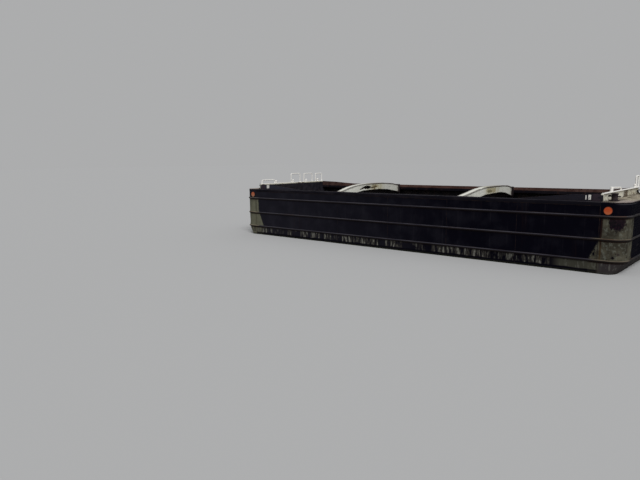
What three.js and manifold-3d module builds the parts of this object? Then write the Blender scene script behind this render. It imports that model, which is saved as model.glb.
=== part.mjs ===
// Open steel river barge of the pan kind: a square-ended coal compartment pushed in line with others.
// Millimetres. +X runs along the hull, +Y across it, +Z up. The origin is on the flat bottom, under its middle.

import * as THREE from 'three';
import { mergeVertices } from 'three/addons/utils/BufferGeometryUtils.js';
import Module from 'manifold-3d';

const wasm = await Module();
wasm.setup();

// Overall sizes, measured over the rub rails.
const overallLength = 17070;
const overallBeam = 5290;
const depth = 2650;

// Rub rails: half-round bars with a flat crown, along the sides and around the ends.
const railDepth = 40;
const railHeight = 70;
const railCrown = 24;
const roundingSteps = 2;
const railLevels = { upper: 2210, middle: 1510, lower: 850 };

// Plating, from the rails inwards.
const hullHalfLength = overallLength / 2 - railDepth;
const hullHalfBeam = overallBeam / 2 - railDepth;
const cornerRadius = 450;
const cornerSteps = 8;
const bilgeRadius = 100;
const rakeTop = 820;
const rakeRun = 520;

// Hold: floor, side walls and end bulkheads, each as thick as the whole real panel.
const floorThickness = 120;
const wallThickness = 110;
const wallInner = hullHalfBeam - wallThickness;
const holdEnd = 7650;
const bulkheadThickness = 80;
const endBoxStart = holdEnd + bulkheadThickness;

// Gunwale bars, on top of the side walls: narrow side decks, proud of the walls inside the hold.
const gunwaleDepth = 120;
const gunwaleWidth = 335;
const gunwaleInner = hullHalfBeam - gunwaleWidth;
const gunwaleUnder = depth - gunwaleDepth;

// Low rusty plate that stands on the inner edge of the far gunwale only.
const farCoaming = { thickness: 30, height: 125 };

// Raised end walls, the bars along their tops, and the wing plates that run down from them to the gunwale.
const endWallTop = depth + 250;
const copingThickness = 25;
const copingUnder = endWallTop - copingThickness;
const copingWidth = 110;
const copingMiddle = endBoxStart - 10;
const wingThickness = 30;
const wingOuter = gunwaleInner + wingThickness;
const wingLength = 2500;
const nearWingTop = [
  { fromWall: 800, rise: 188 },
  { fromWall: wingLength, rise: 15 },
];
const farWingTops = {
  left: [
    { fromWall: 930, rise: 200 },
    { fromWall: 1560, rise: 160 },
    { fromWall: 2150, rise: 128 },
    { fromWall: wingLength, rise: farCoaming.height },
  ],
  right: [
    { fromWall: 850, rise: farCoaming.height },
    { fromWall: wingLength, rise: farCoaming.height },
  ],
};

// Arched beams across the hold: top line and underside from the near side to the far one, where they end higher.
const padThickness = 30;
const padWidth = 400;
const padHeights = { near: [2350, depth], far: [2395, 2800] };
const beamEnd = gunwaleInner - padThickness;
const beams = {
  left: {
    place: -2800,
    top: [
      { y: -beamEnd, z: 2645 },
      { y: -1660, z: 2792 },
      { y: -1150, z: 2875 },
      { y: -700, z: 2910 },
      { y: -400, z: 2920 },
      { y: 900, z: 2920 },
      { y: 1700, z: 2865 },
      { y: beamEnd, z: 2775 },
    ],
    under: [
      { y: -beamEnd, z: 2380 },
      { y: -1700, z: 2470 },
      { y: -1100, z: 2556 },
      { y: -600, z: 2625 },
      { y: 650, z: 2638 },
      { y: 1300, z: 2598 },
      { y: 1900, z: 2505 },
      { y: beamEnd, z: 2445 },
    ],
  },
  right: {
    place: 2890,
    top: [
      { y: -beamEnd, z: 2632 },
      { y: -1550, z: 2728 },
      { y: -900, z: 2828 },
      { y: -300, z: 2885 },
      { y: 100, z: 2895 },
      { y: 1300, z: 2895 },
      { y: 1850, z: 2868 },
      { y: beamEnd, z: 2785 },
    ],
    under: [
      { y: -beamEnd, z: 2370 },
      { y: -1300, z: 2475 },
      { y: -750, z: 2530 },
      { y: -300, z: 2592 },
      { y: 400, z: 2615 },
      { y: 1100, z: 2630 },
      { y: 1600, z: 2585 },
      { y: beamEnd, z: 2440 },
    ],
  },
};
const beamWebWidth = 230;
const beamFlangeWidth = 270;
const beamFlangeThickness = 35;

// Orange warning discs on the sides.
const discRadius = 124;
const discThickness = 12;
const discHeight = 2391;
const discFromMiddle = 7950;

// Bollards on the end decks: turned profile as radius and height, and the pin through them along the hull.
const bollardProfile = [
  { r: 140, z: 0 },
  { r: 140, z: 16 },
  { r: 92, z: 28 },
  { r: 92, z: 190 },
  { r: 108, z: 205 },
  { r: 108, z: 228 },
  { r: 96, z: 240 },
];
const bollardX = 7960;
const bollardY = 2000;
const bollardPin = { radius: 18, reach: 170, height: 143 };

// Round-headed posts on the end wall tops: turned profile as share of the radius and height.
const knobProfile = [
  { share: 1, z: 0 },
  { share: 1, z: 88 },
  { share: 0.84, z: 116 },
  { share: 0.45, z: 130 },
];

// Pipe hoops on the end wall tops. footY and endY are the two legs, rises their heights; stoutRadius thickens the
// first leg.
const hoops = [
  { name: 'low_hoop_right', end: 1, footY: -1410, endY: -250, rises: [155, 110], bend: 50, pipeRadius: 26, stoutRadius: 50 },
  { name: 'tall_hoop_right', end: 1, footY: 1900, endY: 2265, rises: [425, 425], bend: 80, pipeRadius: 28, stoutRadius: 0 },
  { name: 'low_hoop_left', end: -1, footY: -2200, endY: -1330, rises: [195, 195], bend: 90, pipeRadius: 28, stoutRadius: 0 },
  { name: 'tall_hoop_left_near', end: -1, footY: -145, endY: 530, rises: [455, 455], bend: 90, pipeRadius: 26, stoutRadius: 0 },
  { name: 'tall_hoop_left_middle', end: -1, footY: 830, endY: 1480, rises: [440, 440], bend: 90, pipeRadius: 26, stoutRadius: 0 },
  { name: 'tall_hoop_left_far', end: -1, footY: 1755, endY: 2265, rises: [420, 420], bend: 90, pipeRadius: 26, stoutRadius: 0 },
];
const hoopBendSteps = 3;
const pipeSides = 10;

const knobs = [
  { name: 'knob_post_right', end: 1, y: 1725, radius: 36 },
  { name: 'knob_post_left_1', end: -1, y: -1235, radius: 62 },
  { name: 'knob_post_left_2', end: -1, y: 0, radius: 62 },
  { name: 'knob_post_left_3', end: -1, y: 1000, radius: 62 },
  { name: 'knob_post_left_4', end: -1, y: 1925, radius: 62 },
];

// Room left between a shaped piece and what it rests on.
const seamGap = 0.3;

const finishes = {
  bitumen: { color: 0x1b1a22, roughness: 0.62, metalness: 0.1 },
  wornSteel: { color: 0x6f6d68, roughness: 0.7, metalness: 0.25 },
  holdSteel: { color: 0x2c2524, roughness: 0.9, metalness: 0.1 },
  rustRed: { color: 0x6e4438, roughness: 0.85, metalness: 0.1 },
  creamPaint: { color: 0xc9c7b6, roughness: 0.6, metalness: 0 },
  whitePaint: { color: 0xdedbd2, roughness: 0.55, metalness: 0 },
  greyPaint: { color: 0x77767a, roughness: 0.65, metalness: 0.1 },
  orangePaint: { color: 0xd9622b, roughness: 0.55, metalness: 0 },
  darkIron: { color: 0x231c20, roughness: 0.75, metalness: 0.2 },
};
const materials = Object.fromEntries(
  Object.entries(finishes).map(([name, finish]) => [name, new THREE.MeshStandardMaterial(finish)]),
);

const barge = new THREE.Group();

function addPiece(name, finish, geometry) {
  const piece = new THREE.Mesh(geometry, materials[finish]);
  piece.name = name;
  barge.add(piece);
}

// A closed shape from points with plain x and y.
function outline(points) {
  return new THREE.Shape(points.map((point) => new THREE.Vector2(point.x, point.y)));
}

// Extrusions of a shape: drawn in Y and Z and run along X, or drawn in X and Z and run along Y.
function prismAlongX(shape, from, to, curveSegments = 8) {
  const prism = new THREE.ExtrudeGeometry(shape, { depth: to - from, bevelEnabled: false, curveSegments });
  const turn = new THREE.Matrix4().makeBasis(
    new THREE.Vector3(0, 1, 0),
    new THREE.Vector3(0, 0, 1),
    new THREE.Vector3(1, 0, 0),
  );
  return prism.applyMatrix4(turn).translate(from, 0, 0);
}

function prismAlongY(shape, from, to) {
  const prism = new THREE.ExtrudeGeometry(shape, { depth: to - from, bevelEnabled: false });
  const turn = new THREE.Matrix4().makeBasis(
    new THREE.Vector3(1, 0, 0),
    new THREE.Vector3(0, 0, 1),
    new THREE.Vector3(0, -1, 0),
  );
  return prism.applyMatrix4(turn).translate(0, to, 0);
}

function block(x, y, z) {
  const box = new THREE.BoxGeometry(x[1] - x[0], y[1] - y[0], z[1] - z[0]);
  return box.translate((x[0] + x[1]) / 2, (y[0] + y[1]) / 2, (z[0] + z[1]) / 2);
}

// The same piece at the other end or on the other side, with its faces still pointing out.
function mirrored(geometry, alongX, alongY) {
  const copy = geometry.clone().scale(alongX, alongY, 1);
  if (alongX * alongY > 0) {
    return copy;
  }
  const flipped = copy.index ? copy.toNonIndexed() : copy;
  const positions = flipped.getAttribute('position');
  const swap = new THREE.Vector3();
  const last = new THREE.Vector3();
  for (let corner = 0; corner < positions.count; corner += 3) {
    swap.fromBufferAttribute(positions, corner + 1);
    last.fromBufferAttribute(positions, corner + 2);
    positions.setXYZ(corner + 1, last.x, last.y, last.z);
    positions.setXYZ(corner + 2, swap.x, swap.y, swap.z);
  }
  return flipped;
}

function toSolid(geometry) {
  const bare = geometry.clone();
  bare.deleteAttribute('normal');
  bare.deleteAttribute('uv');
  const merged = mergeVertices(bare);
  return new wasm.Manifold(
    new wasm.Mesh({
      numProp: 3,
      vertProperties: new Float32Array(merged.getAttribute('position').array),
      triVerts: new Uint32Array(merged.index.array),
    }),
  );
}

function toGeometry(solid) {
  const mesh = solid.getMesh();
  const geometry = new THREE.BufferGeometry();
  geometry.setAttribute('position', new THREE.BufferAttribute(new Float32Array(mesh.vertProperties), 3));
  geometry.setIndex(new THREE.BufferAttribute(new Uint32Array(mesh.triVerts), 1));
  return geometry;
}

// A route taken one step per point, so that a bend has a section at each of its points and nowhere else.
class PointRoute extends THREE.Curve {
  constructor(points) {
    super();
    this.points = points;
  }

  getPointAt(share) {
    return this.points[Math.round(share * (this.points.length - 1))].clone();
  }

  getTangentAt(share) {
    const here = Math.round(share * (this.points.length - 1));
    const before = this.points[Math.max(here - 1, 0)];
    const after = this.points[Math.min(here + 1, this.points.length - 1)];
    return after.clone().sub(before).normalize();
  }
}

function sweep(section, points) {
  return new THREE.ExtrudeGeometry(section, {
    steps: points.length - 1,
    extrudePath: new PointRoute(points),
    bevelEnabled: false,
    curveSegments: roundingSteps,
  });
}

// Hull sections

// Half of the cross section of one side wall, with the rounded bilge at its foot.
function sideWallSection() {
  const section = new THREE.Shape();
  section.moveTo(wallInner, 0);
  section.lineTo(hullHalfBeam - bilgeRadius, 0);
  section.absarc(hullHalfBeam - bilgeRadius, bilgeRadius, bilgeRadius, -Math.PI / 2, 0);
  section.lineTo(hullHalfBeam, gunwaleUnder);
  section.lineTo(wallInner, gunwaleUnder);
  return section;
}

function wholeCrossSection() {
  const section = new THREE.Shape();
  section.moveTo(-hullHalfBeam + bilgeRadius, 0);
  section.lineTo(hullHalfBeam - bilgeRadius, 0);
  section.absarc(hullHalfBeam - bilgeRadius, bilgeRadius, bilgeRadius, -Math.PI / 2, 0);
  section.lineTo(hullHalfBeam, depth);
  section.lineTo(-hullHalfBeam, depth);
  section.lineTo(-hullHalfBeam, bilgeRadius);
  section.absarc(-hullHalfBeam + bilgeRadius, bilgeRadius, bilgeRadius, Math.PI, Math.PI * 1.5);
  return section;
}

// The decked end seen from above, with its two rounded corners.
function endPlan() {
  const arcX = hullHalfLength - cornerRadius;
  const arcY = hullHalfBeam - cornerRadius;
  const plan = new THREE.Shape();
  plan.moveTo(endBoxStart + seamGap, -hullHalfBeam);
  plan.lineTo(arcX, -hullHalfBeam);
  plan.absarc(arcX, -arcY, cornerRadius, -Math.PI / 2, 0);
  plan.lineTo(hullHalfLength, arcY);
  plan.absarc(arcX, arcY, cornerRadius, 0, Math.PI / 2);
  plan.lineTo(endBoxStart + seamGap, hullHalfBeam);
  return plan;
}

// The plan stood up in two storeys. The foot of the lower one is drawn in towards the hold, as the rake.
function rakedPlan() {
  const rakeShare = (hullHalfLength - rakeRun - endBoxStart) / (hullHalfLength - endBoxStart);
  const prism = new THREE.ExtrudeGeometry(endPlan(), {
    depth,
    steps: 2,
    bevelEnabled: false,
    curveSegments: cornerSteps / 2,
  });
  const positions = prism.getAttribute('position');
  for (let corner = 0; corner < positions.count; corner += 1) {
    const level = Math.round((positions.getZ(corner) / depth) * 2);
    if (level === 1) {
      positions.setZ(corner, rakeTop);
    }
    const fromHold = positions.getX(corner) - endBoxStart;
    if (level === 0 && fromHold > seamGap * 2) {
      positions.setX(corner, endBoxStart + fromHold * rakeShare);
    }
  }
  return prism;
}

function endBox() {
  const section = prismAlongX(wholeCrossSection(), endBoxStart - 100, hullHalfLength + 100);
  return toGeometry(toSolid(rakedPlan()).intersect(toSolid(section)));
}

// Hull and hold

addPiece('bottom_panel', 'holdSteel', block(
  [-holdEnd, holdEnd],
  [-wallInner, wallInner],
  [0, floorThickness],
));

const sideWall = prismAlongX(sideWallSection(), -endBoxStart, endBoxStart);
addPiece('side_wall_far', 'bitumen', sideWall);
addPiece('side_wall_near', 'bitumen', mirrored(sideWall, 1, -1));

const gunwale = block([-endBoxStart, endBoxStart], [gunwaleInner, hullHalfBeam], [gunwaleUnder, depth]);
addPiece('gunwale_bar_far', 'rustRed', gunwale);
addPiece('gunwale_bar_near', 'wornSteel', mirrored(gunwale, 1, -1));
addPiece('coaming_far', 'rustRed', block(
  [wingLength - holdEnd, holdEnd - wingLength],
  [gunwaleInner, gunwaleInner + farCoaming.thickness],
  [depth, depth + farCoaming.height],
));

const deckedEnd = endBox();
addPiece('end_box_right', 'bitumen', deckedEnd);
addPiece('end_box_left', 'bitumen', mirrored(deckedEnd, -1, 1));

// The bulkhead closes the floor's end, narrows between the gunwale bars and widens into the raised end wall.
function bulkheadOutline() {
  const half = [
    { x: wallInner, y: 0 },
    { x: wallInner, y: gunwaleUnder },
    { x: gunwaleInner, y: gunwaleUnder },
    { x: gunwaleInner, y: depth },
    { x: wingOuter, y: depth },
    { x: wingOuter, y: copingUnder },
  ];
  const otherHalf = half.map((point) => ({ x: -point.x, y: point.y })).reverse();
  return outline([...half, ...otherHalf]);
}

const bulkhead = prismAlongX(bulkheadOutline(), holdEnd, endBoxStart);
addPiece('end_bulkhead_right', 'creamPaint', bulkhead);
addPiece('end_bulkhead_left', 'creamPaint', mirrored(bulkhead, -1, 1));

const coping = block(
  [copingMiddle - copingWidth / 2, copingMiddle + copingWidth / 2],
  [-wingOuter, wingOuter],
  [copingUnder, endWallTop],
);
addPiece('end_coping_right', 'whitePaint', coping);
addPiece('end_coping_left', 'whitePaint', mirrored(coping, -1, 1));

function wingPlate(topLine) {
  const shape = outline([
    { x: holdEnd - wingLength, y: depth },
    { x: holdEnd, y: depth },
    { x: holdEnd, y: copingUnder },
    ...topLine.map((point) => ({ x: holdEnd - point.fromWall, y: depth + point.rise })),
  ]);
  return prismAlongY(shape, gunwaleInner, wingOuter);
}

const wingSides = [
  { name: 'wing_plate_right_far', alongX: 1, alongY: 1, topLine: farWingTops.right },
  { name: 'wing_plate_right_near', alongX: 1, alongY: -1, topLine: nearWingTop },
  { name: 'wing_plate_left_far', alongX: -1, alongY: 1, topLine: farWingTops.left },
  { name: 'wing_plate_left_near', alongX: -1, alongY: -1, topLine: nearWingTop },
];
for (const side of wingSides) {
  addPiece(side.name, 'greyPaint', mirrored(wingPlate(side.topLine), side.alongX, side.alongY));
}

// Rub rails

const railRounding = (railHeight - railCrown) / 2;

// Section with its flat back towards the plating: x is up or down, y is inwards.
function railSection() {
  const section = new THREE.Shape();
  section.moveTo(railHeight / 2, -seamGap);
  section.absellipse(railCrown / 2, -seamGap, railRounding, railDepth - seamGap, 0, -Math.PI / 2, true);
  section.absellipse(-railCrown / 2, -seamGap, railRounding, railDepth - seamGap, -Math.PI / 2, -Math.PI, true);
  return section;
}

// Straight bar along one side: y is outwards and z is up.
function sideRail(level) {
  const back = hullHalfBeam + seamGap;
  const proud = railDepth - seamGap;
  const section = new THREE.Shape();
  section.moveTo(back, level - railHeight / 2);
  section.absellipse(back, level - railCrown / 2, proud, railRounding, -Math.PI / 2, 0);
  section.absellipse(back, level + railCrown / 2, proud, railRounding, 0, Math.PI / 2);
  return prismAlongX(section, -endBoxStart, endBoxStart, roundingSteps);
}

// Around one end, from the near side to the far side.
function endRail(level) {
  const arcX = hullHalfLength - cornerRadius;
  const arcY = hullHalfBeam - cornerRadius;
  const points = [new THREE.Vector3(endBoxStart + seamGap, -hullHalfBeam, level)];
  for (const corner of [{ y: -arcY, from: -Math.PI / 2 }, { y: arcY, from: 0 }]) {
    for (let step = 0; step <= cornerSteps; step += 1) {
      const angle = corner.from + (step / cornerSteps) * (Math.PI / 2);
      points.push(new THREE.Vector3(
        arcX + cornerRadius * Math.cos(angle),
        corner.y + cornerRadius * Math.sin(angle),
        level,
      ));
    }
  }
  points.push(new THREE.Vector3(endBoxStart + seamGap, hullHalfBeam, level));
  return sweep(railSection(), points);
}

for (const [name, level] of Object.entries(railLevels)) {
  const side = sideRail(level);
  const end = endRail(level);
  addPiece(`rail_${name}_far`, 'wornSteel', side);
  addPiece(`rail_${name}_near`, 'wornSteel', mirrored(side, 1, -1));
  addPiece(`rail_${name}_right_end`, 'wornSteel', end);
  addPiece(`rail_${name}_left_end`, 'wornSteel', mirrored(end, -1, 1));
}

// Arched cross beams

// A line across the hold, its ends kept just clear of the pads.
function betweenPads(line) {
  const reach = beamEnd - seamGap;
  return line.map((point) => ({ x: Math.max(-reach, Math.min(point.y, reach)), y: point.z }));
}

function crossBeam(beam) {
  const { place } = beam;
  const top = betweenPads(beam.top).reverse();
  const under = betweenPads(beam.under);
  const flangeUnder = top.map((point) => ({ x: point.x, y: point.y - beamFlangeThickness })).reverse();
  const web = prismAlongX(outline([...top, ...under]), place - beamWebWidth / 2, place + beamWebWidth / 2);
  const flange = prismAlongX(
    outline([...top, ...flangeUnder]),
    place - beamFlangeWidth / 2,
    place + beamFlangeWidth / 2,
  );
  return toGeometry(toSolid(web).add(toSolid(flange)));
}

for (const [name, beam] of Object.entries(beams)) {
  addPiece(`cross_beam_${name}`, 'whitePaint', crossBeam(beam));
  const padX = [beam.place - padWidth / 2, beam.place + padWidth / 2];
  addPiece(`beam_pad_${name}_far`, 'darkIron', block(padX, [beamEnd, gunwaleInner], padHeights.far));
  addPiece(`beam_pad_${name}_near`, 'darkIron', block(padX, [-gunwaleInner, -beamEnd], padHeights.near));
}

// Fittings

const disc = new THREE.CylinderGeometry(discRadius, discRadius, discThickness, 24);
disc.translate(0, -hullHalfBeam - seamGap - discThickness / 2, 0);
for (const side of wingSides) {
  const place = disc.clone().translate(discFromMiddle, 0, discHeight);
  addPiece(side.name.replace('wing_plate', 'disc'), 'orangePaint', mirrored(place, side.alongX, -side.alongY));
}

function turned(profile, sides) {
  const points = profile.map((point) => new THREE.Vector2(point.r, point.z));
  const top = profile[profile.length - 1].z;
  const closed = [new THREE.Vector2(0, profile[0].z), ...points, new THREE.Vector2(0, top)];
  return new THREE.LatheGeometry(closed, sides).rotateX(Math.PI / 2);
}

const bollardCrossPin = new THREE.CylinderGeometry(bollardPin.radius, bollardPin.radius, bollardPin.reach * 2, 12);
bollardCrossPin.rotateZ(Math.PI / 2).translate(0, 0, bollardPin.height);
const pinnedBollard = toGeometry(toSolid(turned(bollardProfile, 20)).add(toSolid(bollardCrossPin)));
for (const side of wingSides) {
  const bollard = pinnedBollard.clone();
  bollard.translate(side.alongX * bollardX, side.alongY * bollardY, depth + seamGap);
  addPiece(side.name.replace('wing_plate', 'bollard'), 'darkIron', bollard);
}

for (const knob of knobs) {
  const post = turned(knobProfile.map(({ share, z }) => ({ r: share * knob.radius, z })), 16);
  post.translate(knob.end * copingMiddle, knob.y, endWallTop + seamGap);
  addPiece(knob.name, 'whitePaint', post);
}

// An upright loop of pipe over the end wall, bent at its two upper corners.
function hoop(spec) {
  const foot = endWallTop + seamGap;
  const x = spec.end * copingMiddle;
  const bendPoints = (middleY, rise, fromAngle) => Array.from({ length: hoopBendSteps + 1 }, (_, step) => {
    const angle = fromAngle - (step / hoopBendSteps) * (Math.PI / 2);
    const middleZ = endWallTop + rise - spec.pipeRadius - spec.bend;
    return new THREE.Vector3(x, middleY + spec.bend * Math.cos(angle), middleZ + spec.bend * Math.sin(angle));
  });
  const points = [
    new THREE.Vector3(x, spec.footY, foot),
    ...bendPoints(spec.footY + spec.bend, spec.rises[0], Math.PI),
    ...bendPoints(spec.endY - spec.bend, spec.rises[1], Math.PI / 2),
    new THREE.Vector3(x, spec.endY, foot),
  ];
  const ring = new THREE.Shape(Array.from({ length: pipeSides }, (_, side) => {
    const angle = ((side + 0.5) / pipeSides) * Math.PI * 2;
    return new THREE.Vector2(spec.pipeRadius * Math.cos(angle), spec.pipeRadius * Math.sin(angle));
  }));
  const pipe = toSolid(sweep(ring, points));
  if (spec.stoutRadius === 0) {
    return toGeometry(pipe);
  }
  const post = new THREE.CylinderGeometry(spec.stoutRadius, spec.stoutRadius, spec.rises[0], 16);
  post.rotateX(Math.PI / 2).translate(x, spec.footY, foot + spec.rises[0] / 2);
  return toGeometry(pipe.add(toSolid(post)));
}

for (const spec of hoops) {
  addPiece(spec.name, 'whitePaint', hoop(spec));
}

export default barge;
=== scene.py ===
import math
import random

import bmesh
import bpy
from mathutils import Matrix, Vector, noise


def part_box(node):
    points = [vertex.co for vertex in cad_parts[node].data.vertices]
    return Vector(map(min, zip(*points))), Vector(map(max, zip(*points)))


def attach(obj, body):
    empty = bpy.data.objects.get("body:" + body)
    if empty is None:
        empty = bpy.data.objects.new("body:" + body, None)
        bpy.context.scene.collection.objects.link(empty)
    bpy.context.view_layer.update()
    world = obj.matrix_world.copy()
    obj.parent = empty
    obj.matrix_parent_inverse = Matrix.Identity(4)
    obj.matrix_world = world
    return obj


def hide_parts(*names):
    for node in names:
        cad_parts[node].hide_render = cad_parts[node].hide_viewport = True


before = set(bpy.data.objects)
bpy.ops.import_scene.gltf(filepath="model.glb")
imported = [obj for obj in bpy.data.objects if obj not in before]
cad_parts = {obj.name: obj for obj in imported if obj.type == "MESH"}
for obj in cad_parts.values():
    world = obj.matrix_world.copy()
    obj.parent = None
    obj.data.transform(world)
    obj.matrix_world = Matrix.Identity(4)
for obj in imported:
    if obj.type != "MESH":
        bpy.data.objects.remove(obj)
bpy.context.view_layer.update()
print("frame loaded:", len(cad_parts), "solids")


def boxOf(node):
    # a solid's lowest corner, highest corner and middle
    low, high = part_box(node)
    return low, high, (low + high) / 2


# Everything is in metres. +X runs along the hull, +Y across it, +Z up, and the flat bottom is at zero.
hull = {
    "side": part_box("side_wall_far")[1].y,
    "wallInner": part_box("side_wall_far")[0].y,
    "wallTop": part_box("side_wall_far")[1].z,
    "endStart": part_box("side_wall_far")[1].x,
    "end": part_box("end_box_right")[1].x,
    "deck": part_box("end_box_right")[1].z,
    "holdEnd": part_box("bottom_panel")[1].x,
    "floorTop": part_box("bottom_panel")[1].z,
    "cornerRadius": 0.45,
    "bilgeRadius": 0.1,
    "rakeTop": 0.82,
    "rakeRun": 0.52,
    "waterline": 0.44,
    "ribSpacing": 0.61,
}
railLevels = {level: boxOf(f"rail_{level}_near")[2].z for level in ("upper", "middle", "lower")}
ends = {"right": 1, "left": -1}
sides = {"far": 1, "near": -1}


# Shader maths

class Wire:
    # one output socket; arithmetic on it becomes Math nodes
    def __init__(self, sheet, socket):
        self.sheet = sheet
        self.socket = socket

    def math(self, operation, *values):
        return self.sheet.node("ShaderNodeMath", {"operation": operation}, dict(enumerate(values)))

    def __add__(self, other):
        return self.math("ADD", self, other)

    def __sub__(self, other):
        return self.math("SUBTRACT", self, other)

    def __rsub__(self, other):
        return self.math("SUBTRACT", other, self)

    def __mul__(self, other):
        return self.math("MULTIPLY", self, other)

    def __gt__(self, other):
        return self.math("GREATER_THAN", self, other)

    def __lt__(self, other):
        return self.math("LESS_THAN", self, other)

    def __abs__(self):
        return self.math("ABSOLUTE", self)

    def least(self, other):
        return self.math("MINIMUM", self, other)

    def most(self, other):
        return self.math("MAXIMUM", self, other)

    def rise(self, low, high):
        # 0 at low and 1 at high, smooth between them; with low above high it falls as the value grows
        return self.sheet.node(
            "ShaderNodeMapRange",
            {"interpolation_type": "SMOOTHSTEP"},
            {"Value": self, "From Min": low, "From Max": high, "To Min": 0.0, "To Max": 1.0},
        )

    def near(self, centre, reach):
        # 1 at centre, 0 further than reach from it
        return abs(self - centre).rise(reach, 0.0)

    __radd__ = __add__
    __rmul__ = __mul__


class Sheet:
    # the node tree of one finish, with its named tones and its colour so far
    def __init__(self, name, tones):
        self.tones = tones
        self.material = bpy.data.materials.new(name)
        self.material.use_nodes = True
        self.tree = self.material.node_tree
        self.tree.nodes.clear()
        self.at = self.node("ShaderNodeTexCoord", out="Object")
        parts = self.node("ShaderNodeSeparateXYZ", sockets={0: self.at}, out=None)
        self.x, self.y, self.z = (Wire(self, parts.outputs[axis]) for axis in range(3))

    def node(self, kind, settings=None, sockets=None, out=0):
        made = self.tree.nodes.new(kind)
        for name, value in (settings or {}).items():
            setattr(made, name, value)
        for key, value in (sockets or {}).items():
            if isinstance(value, Wire):
                self.tree.links.new(value.socket, made.inputs[key])
            else:
                made.inputs[key].default_value = value
        return made if out is None else Wire(self, made.outputs[out])

    def upward(self):
        # how far the surface itself faces up, before any bump
        normal = self.node("ShaderNodeTexCoord", out="Normal")
        return self.node("ShaderNodeSeparateXYZ", sockets={0: normal}, out="Z")

    def grain(self, size, seed, detail=4.0, rough=0.55, stretch=(1, 1, 1)):
        # noise whose blobs are about size metres across, longer along an axis where stretch is above 1
        scale = tuple(1 / (size * part) for part in stretch)
        shift = (seed, seed * 1.7, seed * 0.6)
        moved = self.node("ShaderNodeVectorMath", {"operation": "MULTIPLY"}, {0: self.at, 1: scale})
        moved = self.node("ShaderNodeVectorMath", {"operation": "ADD"}, {0: moved, 1: shift})
        return self.node("ShaderNodeTexNoise", sockets={"Vector": moved, "Scale": 1.0, "Detail": detail,
                                                        "Roughness": rough})

    def tint(self, colour):
        # a wire as it is, a tone's name as its value
        return colour if isinstance(colour, Wire) else (*self.tones[colour], 1.0)

    def mix(self, share, first, second):
        return self.node("ShaderNodeMix", {"data_type": "RGBA", "clamp_factor": True},
                         {0: share, 6: self.tint(first), 7: self.tint(second)}, out=2)

    def base(self, share, first, second):
        self.colour = self.mix(share, first, second)

    def coat(self, share, colour):
        # a further coat over the colour so far
        self.base(share, self.colour, colour)

    def panel(self, spans):
        # 1 between the two values given for each axis, with slightly uneven edges
        edge = 0.004
        wobble = (self.grain(0.02, 71) - 0.5) * 0.012
        share = 1.0
        for axis, (low, high) in spans.items():
            value = getattr(self, axis) + wobble
            share = share * value.rise(low - edge, low + edge) * value.rise(high + edge, high - edge)
        return share

    def finish(self, roughness, metal=0.0, height=None, depth=0.002, specular=0.3):
        sockets = {"Base Color": self.colour, "Roughness": roughness, "Metallic": metal,
                   "Specular IOR Level": specular}
        if height is not None:
            bump = {"Height": height, "Distance": depth, "Strength": 1.0}
            sockets["Normal"] = self.node("ShaderNodeBump", sockets=bump)
        shader = self.node("ShaderNodeBsdfPrincipled", sockets=sockets)
        self.node("ShaderNodeOutputMaterial", sockets={"Surface": shader}, out=None)
        return self.material


# Hull finish: black coat, khaki where the ends are worn, a scuffed strip above the waterline

hullTones = {
    "bitumen": (0.0017, 0.0015, 0.0040),
    "bitumenWorn": (0.0125, 0.0120, 0.0170),
    "ribMark": (0.018, 0.016, 0.020),
    "rustDark": (0.011, 0.0048, 0.0042),
    "khaki": (0.074, 0.069, 0.050),
    "khakiDark": (0.030, 0.027, 0.020),
    "khakiPale": (0.110, 0.115, 0.095),
    "khakiLeft": (0.125, 0.124, 0.088),
    "maroon": (0.010, 0.0035, 0.008),
    "rubbed": (0.026, 0.022, 0.022),
    "seamRust": (0.038, 0.025, 0.012),
    "strip": (0.033, 0.030, 0.026),
    "stripRight": (0.042, 0.041, 0.031),
    "stripEnd": (0.029, 0.025, 0.027),
    "paleScrape": (0.145, 0.143, 0.125),
    "topEdge": (0.048, 0.042, 0.048),
    "topEdgeEnd": (0.15, 0.125, 0.12),
    "cornerHighlight": (0.05, 0.048, 0.055),
    "weed": (0.012, 0.013, 0.008),
    "tideLine": (0.046, 0.044, 0.043),
    "silt": (0.024, 0.019, 0.014),
}
# where the coats change: distances from the middle along X or across Y, and heights
hullWear = {
    "khakiFrom": 7.80,
    "khakiLower": 0.33,     # how much further inward the khaki starts below the middle rail
    "khakiLeft": 0.22,      # and at the left end
    "patchAlong": 8.20,     # maroon patch on each corner
    "patchHeight": 2.10,
    "spotAlong": 8.29,      # and a small spot under it
    "spotHeight": 1.07,
    "shadedFaceHalf": 1.80,       # half the width of the black middle of each end face, painted dark as painted shade
    "stripFoot": 0.575,
    "solidFrom": 6.70,      # the strip is scraped all over from here to the right end
    "stripEnd": 7.85,       # and darker from here
    "scrapedLeft": -5.80,   # its scuffs grow dense again from here to the left end
    # the stretches of scuffs in the strip: from and to, along X
    "scuffs": ((-5.6, -5.35), (-4.75, -4.35), (-4.1, -3.6), (-3.35, -2.95), (-2.35, -0.45), (-0.1, 0.7),
               (2.0, 3.2), (3.35, 4.25), (5.05, 5.17), (5.45, 6.3)),
}


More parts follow.
